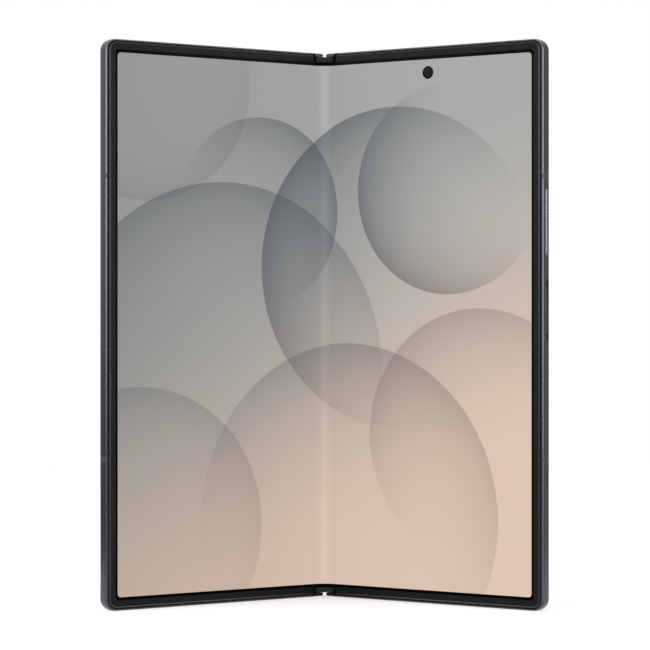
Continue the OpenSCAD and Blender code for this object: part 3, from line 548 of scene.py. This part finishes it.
def finish_polymers():
    wires, shader = surface("bezel_polymer", seen(28, 28, 28), 0.0, 0.32, fineness=7000.0,
                            relief=0.005, specular=0.02)
    lip = wires.add("ShaderNodeAttribute", attribute_name="lip").outputs["Fac"]
    lip_shine = 0.45
    wires.put(shader.inputs["Coat Weight"], wires.math("MULTIPLY", lip, lip_shine))
    shader.inputs["Coat Roughness"].default_value = 0.3
    surface("break_polymer", seen(50, 51, 57), 0.0, 0.42, fineness=6000.0, relief=0.05,
            specular=0.3)
    wires, shader = surface("cap_polymer", seen(50, 50, 53), 0.0, 0.4, fineness=6000.0,
                            relief=0.03, specular=0.1)
    # painted shade at both sides of the hinge cap, standing in for shadowed gaps that the mesh does not cut
    beside = wires.math("ABSOLUTE", wires.split(wires.place())[0])
    plain_until, shade_from = 2.3 * MM, 2.6 * MM
    painted_groove_shade = wires.smooth(beside, plain_until, shade_from)
    tint_where(wires, shader, painted_groove_shade, seen(7, 7, 8))
    surface("module_black", seen(26, 26, 28), 0.0, 0.55, fineness=5000.0, relief=0.1)
    surface("cell_pouch", seen(48, 48, 52), 0.3, 0.4, (0.2, 0.2, 0.2), 2500.0, 0.3)


def finish_board():
    """Green solder mask with a net of paler tracks"""
    wires, shader = surface("board", seen(14, 62, 50), 0.0, 0.35, fineness=1500.0, relief=0.1)
    cells = wires.add("ShaderNodeTexBrick")
    wires.put(cells.inputs["Vector"], wires.place())
    cells.inputs["Scale"].default_value = 420.0
    cells.inputs["Mortar Size"].default_value = 0.06
    wires.put(cells.inputs["Color1"], seen(14, 62, 50))
    wires.put(cells.inputs["Color2"], seen(18, 74, 58))
    wires.put(cells.inputs["Mortar"], seen(58, 112, 74))
    wires.put(shader.inputs["Base Color"], cells.outputs["Color"])


def picture_shader(screen, out, up, wires, shader):
    """Joins the screen's picture to its shader, under a faintly marked dark film"""
    picture = wires.group("Screen picture", Out=out, Up=up)
    marks = wires.group("Handling marks", Place=wires.place())["Marks"]
    wires.put(shader.inputs["Base Color"], wires.mix(marks, seen(2, 2, 3), seen(4, 4, 5)))
    wires.put(shader.inputs["Emission Color"], picture["Color"])
    shader.inputs["Emission Strength"].default_value = screen.glow
    wires.put(shader.inputs["Roughness"], wires.math("MULTIPLY_ADD", marks, 0.08, 0.16))
    shader.inputs["Specular IOR Level"].default_value = 0.01


def finish_screens(screen):
    """One material for each flat panel and one for the curved strip"""
    for side, sign in SIDES.items():
        wires, shader = start_material("screen_" + side)[1:]
        flat = wires.group("Flat place", Place=wires.place(), Side=sign)
        picture_shader(screen, flat["Out"], flat["Up"], wires, shader)
    wires, shader = start_material("screen_strip")[1:]
    out = wires.add("ShaderNodeAttribute", attribute_name="flat_out").outputs["Fac"]
    up = wires.math("DIVIDE", wires.split(wires.place())[2], MM)
    picture_shader(screen, out, up, wires, shader)
    # painted highlight: the crease's picture is brightened as if it caught some light, more so towards the top
    crease_half, low_gain, high_gain = 3.3, 0.08, 0.16
    crest = wires.smooth(wires.math("ABSOLUTE", out), 0.0, crease_half, 1.0, 0.0)
    gain = wires.smooth(up, 10.0, 150.0, low_gain, high_gain)
    painted_crease_light = wires.math("MULTIPLY_ADD", crest, gain, 1.0)
    picture = wires.feeding(shader.inputs["Emission Color"])
    wires.put(shader.inputs["Emission Color"],
              wires.mix(1.0, picture, wires.grey(painted_crease_light), "MULTIPLY"))


def finish_cover_glass(shape):
    """Black glass with the sleeping display's area and the clear eye of its camera"""
    wires, shader = surface("cover_glass_black", seen(10, 10, 12), 0.0, 0.06,
                            fineness=1500.0, relief=0.0, spread=0.02, coat=0.5)
    flat = wires.group("Flat place", Place=wires.place(), Side=-1.0)
    low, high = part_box("cover_display")
    middle = shape.body_height / 2
    reach = standing(shape, -1).inverted() @ Vector((low.x, low.y, high.z))
    beyond_side = wires.math("ADD", wires.math("MULTIPLY", flat["Out"], -1.0), -reach.x)
    from_middle = wires.math("ABSOLUTE", wires.math("SUBTRACT", flat["Up"], middle))
    beyond_end = wires.math("SUBTRACT", from_middle, reach.z - middle)
    edge_blur = 0.1
    sleeping = wires.smooth(wires.math("MAXIMUM", beyond_side, beyond_end), -edge_blur,
                            edge_blur, 1.0, 0.0)
    low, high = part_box("cover_camera")
    eye = standing(shape, -1).inverted() @ ((low + high) / 2)
    across = wires.math("ADD", flat["Out"], eye.x)
    above = wires.math("SUBTRACT", flat["Up"], eye.z)
    away = wires.math("SQRT", wires.squares(across, above))
    paint = wires.mix(sleeping, seen(8, 8, 9), seen(15, 15, 17))
    # rings of the camera's eye from outside in: radius, blur beyond it and colour
    for radius, blur, ring in ((2.0, 0.1, seen(2, 2, 3)), (1.15, 0.1, seen(26, 27, 34)),
                               (0.8, 0.15, seen(8, 9, 20))):
        paint = wires.mix(wires.smooth(away, radius, radius + blur, 1.0, 0.0), paint, ring)
    wires.put(shader.inputs["Base Color"], paint)


def finish_glasses():
    """Frosted back glass, camera parts, coated lenses and the flash's window"""
    surface("back_glass_frost", seen(58, 60, 67), 0.35, 0.38, fineness=9000.0, relief=0.05,
            spread=0.04, coat=0.15)
    surface("eye_rim", seen(4, 4, 4), 0.0, 0.4, fineness=1500.0, relief=0.0, specular=0.03)
    surface("eye_glass", seen(28, 29, 31), 0.0, 0.3, fineness=1500.0, relief=0.0,
            specular=0.015)
    surface("lens_holder", seen(14, 14, 16), 0.0, 0.14, fineness=1500.0, relief=0.0,
            spread=0.03, coat=0.6)
    surface("flash_lens", seen(232, 224, 196), 0.0, 0.2, fineness=1500.0, relief=0.02,
            coat=0.6)
    wires, shader = surface("lens_glass", seen(9, 10, 14), 0.0, 0.05, fineness=1500.0,
                            relief=0.0, spread=0.02, coat=1.0)
    # painted sheen: the base colour turns violet towards grazing angles, standing in for the coating's tinted
    # reflection
    facing = wires.add("ShaderNodeLayerWeight")
    facing.inputs["Blend"].default_value = 0.35
    wires.put(shader.inputs["Base Color"],
              wires.mix(facing.outputs["Facing"], seen(10, 12, 22), seen(44, 40, 74)))


# =====================================================================================
# Mesh helpers
# =====================================================================================


def lean_angle(shape):
    return (math.pi - shape.open_angle) / 2


def hinge_axis():
    """Right hinge axis in the frame, in metres"""
    for joint in frame["joints"]:
        if joint["name"] == "right_fold":
            return Vector(joint["pos_m"])
    raise RuntimeError("the frame has no joint named right_fold")


def standing(shape, side):
    """Turns flat millimetres on one half to its place in the frame"""
    axis = hinge_axis()
    back = Matrix.Translation((-axis.x, -shape.axis_deep * MM, 0))
    turned = Matrix.Translation(axis) @ Matrix.Rotation(-lean_angle(shape), 4, "Z") @ back
    mirrored = Matrix.Diagonal((side, 1, 1, 1)) @ turned
    return mirrored @ Matrix.Scale(MM, 4)


def make_mesh(name, points, faces, place, smooth_under=35):
    """A mesh object whose points are turned by place, with its normals outwards"""
    data = bpy.data.meshes.new(name)
    data.from_pydata([place @ Vector(p) for p in points], [], faces)
    shell = bmesh.new()
    shell.from_mesh(data)
    bmesh.ops.remove_doubles(shell, verts=shell.verts, dist=1e-7)
    bmesh.ops.recalc_face_normals(shell, faces=shell.faces)
    shell.to_mesh(data)
    shell.free()
    made = bpy.data.objects.new(name, data)
    bpy.context.scene.collection.objects.link(made)
    data.polygons.foreach_set("use_smooth", [True] * len(data.polygons))
    data.set_sharp_from_angle(angle=math.radians(smooth_under))
    return made


def loft(rings, closed=False):
    """Points and faces of a skin over rings of equally many points"""
    count = len(rings[0])
    points = [p for ring in rings for p in ring]
    faces = []
    for row in range(len(rings) - (0 if closed else 1)):
        here, there = row * count, (row + 1) % len(rings) * count
        for i in range(count):
            j = (i + 1) % count
            faces.append((here + i, here + j, there + j, there + i))
    if not closed:
        faces.append(tuple(reversed(range(count))))
        faces.append(tuple(range(len(points) - count, len(points))))
    return points, faces


def lathe(name, profile, out, up, place, steps=64):
    """A round piece about an axis through the thickness; profile holds (radius, deep)"""
    rings = []
    for step in range(steps):
        angle = math.tau * step / steps
        rings.append([(out + r * math.cos(angle), deep, up + r * math.sin(angle))
                      for r, deep in profile])
    points, faces = loft(rings, closed=True)
    return make_mesh(name, points, faces, place)


def dress(piece, material, body=None):
    """Gives a new piece its finish and the body that it rides on"""
    piece.data.materials.clear()
    piece.data.materials.append(bpy.data.materials[look(material)])
    if body:
        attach(piece, body)
    return piece


# =====================================================================================
# Operators
# =====================================================================================


class PHONE_OT_finishes(bpy.types.Operator):
    """Make every finish and put it on the nodes of the packed part"""

    bl_idname = "phone.finishes"
    bl_label = "Finishes"

    def execute(self, context):
        shape = in_millimetres(context.scene.phone_shape)
        screen = in_millimetres(context.scene.phone_screen)
        group_flat_place(shape)
        group_soft_disc()
        group_picture(shape, screen)
        group_grain()
        group_handling()
        finish_metals()
        finish_polymers()
        finish_board()
        finish_screens(screen)
        finish_cover_glass(shape)
        finish_glasses()
        slots = {part["node"]: part["material_slot"] for part in frame["record"]["subparts"]}
        for name, node in frame["nodes"].items():
            slot = slots.get(name)
            if slot is None:
                raise RuntimeError(f"node {name} has no material slot in the record")
            if slot == "screen":
                slot = {"left_display": "screen_left", "right_display": "screen_right"}.get(
                    name, "screen_strip")
            node.data.materials.clear()
            node.data.materials.append(bpy.data.materials[look(slot)])
        return {"FINISHED"}


class PHONE_OT_screen_strip(bpy.types.Operator):
    """Build the two curved strips of screen that bend over the hinge"""

    bl_idname = "phone.screen_strip"
    bl_label = "Screen strip"

    steps: IntProperty(name="Steps", description="Facets of each strip", default=14, min=4)
    rows: IntProperty(name="Rows", description="Facets along the fold", default=24, min=1)

    def execute(self, context):
        shape = in_millimetres(context.scene.phone_shape)
        lean = lean_angle(shape)
        joint = standing(shape, 1) @ Vector((shape.fold_half, shape.panel_deep, 0)) / MM
        radius = joint.x / math.sin(lean)
        centre = joint.y - radius * math.cos(lean)
        low, high = shape.panel_edge, shape.body_height - shape.panel_edge
        levels = [low + (high - low) * row / self.rows for row in range(self.rows + 1)]
        for side, sign in SIDES.items():
            rings = []
            for step in range(self.steps + 1):
                angle = lean * step / self.steps
                front = [(sign * radius * math.sin(angle), centre + radius * math.cos(angle), z)
                         for z in levels]
                thick = radius + shape.panel_thick
                back = [(sign * thick * math.sin(angle), centre + thick * math.cos(angle), z)
                        for z in reversed(levels)]
                rings.append(front + back)
            points, faces = loft(rings)
            strip = make_mesh("screen_strip_" + side, points, faces, Matrix.Scale(MM, 4))
            flat = strip.data.attributes.new("flat_out", "FLOAT", "POINT")
            outs = []
            for vertex in strip.data.vertices:
                across, behind = vertex.co.x / MM, vertex.co.y / MM - centre
                outs.append(shape.fold_half * math.atan2(across, behind) / lean)
            flat.data.foreach_set("value", outs)
            dress(strip, "screen_strip")
            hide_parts("display_fold")
            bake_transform(strip)
        return {"FINISHED"}


class PHONE_OT_bezels(bpy.types.Operator):
    """Build the soft bezels with their raised outer lip and dished face"""

    bl_idname = "phone.bezels"
    bl_label = "Bezels"

    corner_steps: IntProperty(name="Corner steps", description="Facets of a corner",
                              default=10, min=3)
    # points of the section that lie on the raised lip
    lip_points = range(3, 11)

    def section(self, shape):
        """Points of the section: inset at the side, inset at the ends, depth"""
        seam, side, end = shape.bezel_seam, shape.bezel_side, shape.bezel_end
        floor = shape.panel_deep - 0.015
        foot = shape.panel_edge - 0.05
        ledge = seam - 0.25
        dish = 0.09
        return [
            # the flange under the frame's edge
            (ledge, ledge, shape.plate_deep),
            (ledge, ledge, 0.6),
            (seam, seam, 0.55),
            # the lip
            (seam, seam, 0.14),
            (seam + 0.03, seam + 0.02, 0.07),
            (seam + 0.1, seam + 0.06, 0.025),
            (seam + 0.2, seam + 0.12, 0.0),
            (seam + 0.34, seam + 0.2, 0.005),
            (seam + 0.46, seam + 0.27, 0.03),
            (seam + 0.56, seam + 0.33, 0.07),
            (seam + 0.62, seam + 0.37, dish - 0.003),
            # the dished face
            (seam + 0.72, seam + 0.43, dish),
            (side - 0.15, end - 0.15, dish),
            # the rounded inner edge, down to the screen
            (side - 0.1, end - 0.1, dish + 0.002),
            (side - 0.03, end - 0.03, dish + 0.02),
            (side, end, floor - 0.03),
            (side, end, floor),
            # the underside over the screen's edge, and the back beside it
            (foot, foot, floor),
            (foot, foot, shape.plate_deep),
        ]

    def path(self, shape, side_inset, end_inset):
        """The section point's way round the half: along the bottom, up the side and back"""
        least_radius, straight = 0.9, 0.5
        radius = max(shape.corner - side_inset, least_radius)
        outer = shape.half_width - side_inset
        top = shape.body_height - end_inset
        inner = (shape.bezel_from, shape.bezel_from + straight)
        way = [(out, end_inset) for out in inner]
        for centre_up, start in ((end_inset + radius, -90), (top - radius, 0)):
            for step in range(self.corner_steps + 1):
                angle = math.radians(start + 90 * step / self.corner_steps)
                way.append((outer - radius + radius * math.cos(angle),
                            centre_up + radius * math.sin(angle)))
        return way + [(out, top) for out in reversed(inner)]

    def execute(self, context):
        shape = in_millimetres(context.scene.phone_shape)
        section = self.section(shape)
        ways = [self.path(shape, side, end) for side, end, _ in section]
        rings = [[(way[i][0], deep, way[i][1]) for way, (_, _, deep) in zip(ways, section)]
                 for i in range(len(ways[0]))]
        points, faces = loft(rings)
        count = len(section)
        for side, sign in SIDES.items():
            name = side + "_soft_bezel"
            piece = make_mesh(name, points, faces, standing(shape, sign))
            lip = piece.data.attributes.new("lip", "FLOAT", "POINT")
            lip.data.foreach_set("value", [float(i % count in self.lip_points)
                                           for i in range(len(piece.data.vertices))])
            dress(piece, "bezel_polymer", side + "_half")
            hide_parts(side + "_bezel")
        return {"FINISHED"}


class PHONE_OT_keys(bpy.types.Operator):
    """Round the outer rims of the two keys"""

    bl_idname = "phone.keys"
    bl_label = "Keys"

    rim: length("Rim", "How far the rounding reaches", 0.4)

    def execute(self, context):
        place = standing(in_millimetres(context.scene.phone_shape), 1)
        face_band = 0.01
        flat = place.inverted()
        # the rocker's finish is the lighter copy of the keys' metal, a painted highlight
        for name, finish in (("volume_rocker", "rocker_lit_metal"), ("power_key", "key_metal")):
            node = frame["nodes"][name]
            data = node.data.copy()
            data.transform(flat @ node.matrix_world)
            shell = bmesh.new()
            shell.from_mesh(data)
            bmesh.ops.remove_doubles(shell, verts=shell.verts, dist=1e-4)
            bmesh.ops.dissolve_limit(shell, angle_limit=math.radians(1), verts=shell.verts,
                                     edges=shell.edges)
            face = max(vertex.co.x for vertex in shell.verts)
            rims = [edge for edge in shell.edges
                    if all(vertex.co.x > face - face_band for vertex in edge.verts)]
            bmesh.ops.bevel(shell, geom=rims, offset=self.rim / MM, segments=5, profile=0.5,
                            affect="EDGES", clamp_overlap=True)
            shell.to_mesh(data)
            shell.free()
            points = [vertex.co.copy() for vertex in data.vertices]
            faces = [tuple(polygon.vertices) for polygon in data.polygons]
            bpy.data.meshes.remove(data)
            key = make_mesh(name + "_crowned", points, faces, place)
            dress(key, finish, name)
            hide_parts(name)
        return {"FINISHED"}


class PHONE_OT_inner_camera(bpy.types.Operator):
    """Build the inner camera that looks through the hole in the right panel"""

    bl_idname = "phone.inner_camera"
    bl_label = "Inner camera"

    def execute(self, context):
        place = standing(in_millimetres(context.scene.phone_shape), 1)
        low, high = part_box("inner_camera")
        flat = place.inverted() @ ((low + high) / 2)
        out, up = flat.x, flat.z
        radius = 1.83
        barrel = lathe(
            "inner_camera_barrel",
            [(0.9, 3.4), (radius + 0.2, 3.4), (radius + 0.2, 0.9), (radius, 0.86),
             (radius, 0.4), (radius - 0.06, 0.34), (1.52, 0.34), (1.46, 0.4), (1.44, 0.6),
             (0.9, 0.62)],
            out, up, place)
        dress(barrel, "eye_rim", "right_half")
        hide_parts("inner_camera")
        lens = lathe(
            "inner_camera_lens",
            [(0.0, 0.64), (1.42, 0.64), (1.42, 0.46), (1.36, 0.44), (0.78, 0.43),
             (0.74, 0.47), (0.7, 0.45), (0.5, 0.41), (0.25, 0.385), (0.0, 0.38)],
            out, up, place)
        dress(lens, "eye_glass", "right_half")
        return {"FINISHED"}


class PHONE_OT_rear_cameras(bpy.types.Operator):
    """Build the stepped optics inside the rear lens rings and the ridged flash window"""

    bl_idname = "phone.rear_cameras"
    bl_label = "Rear cameras"

    rims: IntProperty(name="Flash ridges", description="Round ridges of the flash window",
                      default=4, min=1)

    def execute(self, context):
        shape = in_millimetres(context.scene.phone_shape)
        place = standing(shape, 1)
        low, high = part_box("camera_lens_glasses")
        flat_low, flat_high = place.inverted() @ low, place.inverted() @ high
        pitch = (flat_high.z - flat_low.z - 2 * shape.lens_radius) / 2
        out = (place.inverted() @ ((low + high) / 2)).x
        glass, back = shape.lens_deep, shape.lens_deep - shape.lens_thick
        radius = shape.lens_radius
        for number in range(3):
            up = flat_low.z + radius + pitch * number
            eye = 1.85 if number == 0 else 2.2
            holder = lathe(
                f"rear_lens_holder_{number + 1}",
                [(0.0, back), (radius, back), (radius, glass - 0.06), (radius - 0.06, glass),
                 (3.9, glass), (3.78, glass - 0.04), (3.7, glass - 0.2), (3.3, glass - 0.22),
                 (3.26, glass - 0.3), (2.9, glass - 0.32), (2.86, glass - 0.4),
                 (eye + 0.15, glass - 0.42), (eye + 0.05, glass - 0.5), (0.0, glass - 0.5)],
                out, up, place)
            dress(holder, "lens_holder", "right_half")
            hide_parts("camera_lens_glasses")
            lens = lathe(
                f"rear_lens_eye_{number + 1}",
                [(0.0, glass - 0.55), (eye, glass - 0.55), (eye, glass - 0.4),
                 (0.9 * eye, glass - 0.34), (0.7 * eye, glass - 0.27), (0.4 * eye, glass - 0.22),
                 (0.0, glass - 0.2)],
                out, up, place)
            dress(lens, "lens_glass", "right_half")
        self.flash(shape, place)
        return {"FINISHED"}

    def flash(self, shape, place):
        low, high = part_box("flash_led")
        flat = place.inverted() @ ((low + high) / 2)
        face = shape.body_depth
        radius, thick, ridged = 2.15, 0.8, 1.85
        profile = [(0.0, face - thick), (radius, face - thick), (radius, face - 0.03),
                   (radius - 0.05, face), (ridged + 0.1, face)]
        width = (ridged - 0.1) / self.rims
        for rim in range(self.rims):
            outer = ridged - rim * width
            profile += [(outer, face - 0.12), (outer - 0.75 * width, face - 0.03)]
        profile.append((0.0, face - 0.05))
        window = lathe("flash_window", profile, flat.x, flat.z, place)
        dress(window, "flash_lens", "right_half")
        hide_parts("flash_led")


class PHONE_OT_stage(bpy.types.Operator):
    """Set the camera, the pale floor and the soft studio light"""

    bl_idname = "phone.stage"
    bl_label = "Stage"

    def camera(self, scene, settings, middle):
        data = bpy.data.cameras.new("camera")
        data.lens = settings.lens
        data.sensor_width = 36.0
        data.shift_x, data.shift_y = settings.shift, settings.rise
        data.clip_start, data.clip_end = 0.05, 100.0
        made = bpy.data.objects.new("camera", data)
        made.location = (0.0, hinge_axis().y - settings.distance, middle)
        made.rotation_euler = (math.radians(90), 0.0, 0.0)
        scene.collection.objects.link(made)
        scene.camera = made

    def light(self, scene, name, power, place, aim, width, height):
        data = bpy.data.lights.new(name, "AREA")
        data.shape = "RECTANGLE"
        data.size, data.size_y = width, height
        data.energy = power
        made = bpy.data.objects.new(name, data)
        made.location = place
        made.rotation_euler = (Vector(aim) - Vector(place)).to_track_quat("-Z", "Y").to_euler()
        scene.collection.objects.link(made)

    def floor(self):
        wide, near, far = 0.16, -0.4, 0.6
        tone, glow = 0.45, 0.52
        floor = make_mesh("floor", [(-wide, near, 0), (wide, near, 0), (wide, far, 0),
                                    (-wide, far, 0)], [(0, 1, 2, 3)], Matrix.Identity(4))
        made, wires, shader = start_material("pale_floor")
        path = wires.add("ShaderNodeLightPath").outputs
        behind = wires.math("MAXIMUM", path["Is Glossy Ray"], path["Is Transmission Ray"])
        showing = wires.math("MAXIMUM", path["Is Camera Ray"], behind)
        shader.inputs["Base Color"].default_value = (tone, tone, tone, 1.0)
        shader.inputs["Roughness"].default_value = 0.9
        shader.inputs["Specular IOR Level"].default_value = 0.0
        wires.put(shader.inputs["Emission Color"], WHITE)
        wires.put(shader.inputs["Emission Strength"], wires.math("MULTIPLY", showing, glow))
        floor.data.materials.append(made)

    def world(self, scene, settings):
        """White to the camera, even light on surfaces, and a room in what metal reflects"""
        world = bpy.data.worlds.new("studio")
        world.use_nodes = True
        scene.world = world
        wires = Wiring(world.node_tree)
        path = wires.add("ShaderNodeLightPath").outputs
        right, away, up = wires.split(wires.add("ShaderNodeTexCoord").outputs["Generated"])
        lean, wall_level, right_share = 0.16, 0.9, 0.62
        high = wires.math("MULTIPLY_ADD", right, lean, up)
        walls = wires.smooth(high, -0.24, -0.04, settings.studio, wall_level)
        walls = wires.math("MULTIPLY", walls, wires.smooth(right, 0.0, 0.6, 1.0, right_share))
        sides = wires.smooth(away, -0.35, 0.2)
        room = wires.math("MULTIPLY_ADD", sides, wires.math("SUBTRACT", walls, settings.studio),
                          settings.studio)
        backdrop = wires.smooth(away, 0.75, 0.95, room, 1.0)
        glossy = wires.math("MAXIMUM", path["Is Glossy Ray"], path["Is Transmission Ray"])
        level = wires.add("ShaderNodeMix", data_type="FLOAT")
        wires.put(level.inputs[0], glossy)
        wires.put(level.inputs[2], settings.ambient)
        wires.put(level.inputs[3], backdrop)
        shown = wires.math("MAXIMUM", path["Is Camera Ray"], level.outputs[0])
        background = world.node_tree.nodes["Background"]
        wires.put(background.inputs["Strength"], shown)
        background.inputs["Color"].default_value = WHITE

    def execute(self, context):
        scene = context.scene
        settings = scene.phone_stage
        middle = scene.phone_shape.body_height / 2
        scene.view_settings.view_transform = "Standard"
        self.camera(scene, settings, middle)
        self.floor()
        self.world(scene, settings)
        self.light(scene, "key", settings.key, (0.0, 0.15, 1.0), (0, 0.15, 0), 2.6, 1.2)
        wide, high = 0.5, 0.78
        for name, side, strip, low in (("left", -1, settings.left_strip, 0.07),
                                       ("right", 1, settings.right_strip, -0.02)):
            level = low + high / 2
            self.light(scene, name + " strip", strip, (side * 1.08, -0.39, level),
                       (0, 0, level), wide, high)
            # the left soft box is the stronger one
            fill = settings.fill * (0.9 - 0.3 * side)
            self.light(scene, name + " fill", fill, (side * 0.75, -1.1, 0.52),
                       (0, 0, 0.45), 0.7, 0.8)
        return {"FINISHED"}


OPERATORS = [
    PHONE_OT_finishes,
    PHONE_OT_screen_strip,
    PHONE_OT_bezels,
    PHONE_OT_keys,
    PHONE_OT_inner_camera,
    PHONE_OT_rear_cameras,
    PHONE_OT_stage,
]
SETTINGS = {"phone_shape": PhoneShape, "phone_screen": PhoneScreen, "phone_stage": PhoneStage}


class PHONE_PT_looks(bpy.types.Panel):
    """Lists the steps that dress the phone"""

    bl_idname = "PHONE_PT_looks"
    bl_label = "Folding phone"
    bl_space_type = "VIEW_3D"
    bl_region_type = "UI"
    bl_category = "Phone"

    def draw(self, context):
        for operator in OPERATORS:
            self.layout.operator(operator.bl_idname)
        for name, group in SETTINGS.items():
            box = self.layout.box()
            box.label(text=group.__doc__)
            for setting in group.__annotations__:
                box.prop(getattr(context.scene, name), setting)


def register():
    for item in [*SETTINGS.values(), *OPERATORS, PHONE_PT_looks]:
        bpy.utils.register_class(item)
    for name, group in SETTINGS.items():
        setattr(bpy.types.Scene, name, PointerProperty(type=group))


def unregister():
    for name in SETTINGS:
        delattr(bpy.types.Scene, name)
    for item in reversed([*SETTINGS.values(), *OPERATORS, PHONE_PT_looks]):
        bpy.utils.unregister_class(item)


def build():
    """Runs every step in order"""
    register()
    for operator in OPERATORS:
        group, name = operator.bl_idname.split(".")
        if getattr(getattr(bpy.ops, group), name)() != {"FINISHED"}:
            raise RuntimeError(f"{operator.bl_idname} did not finish")


if __name__ == "__main__":
    build()
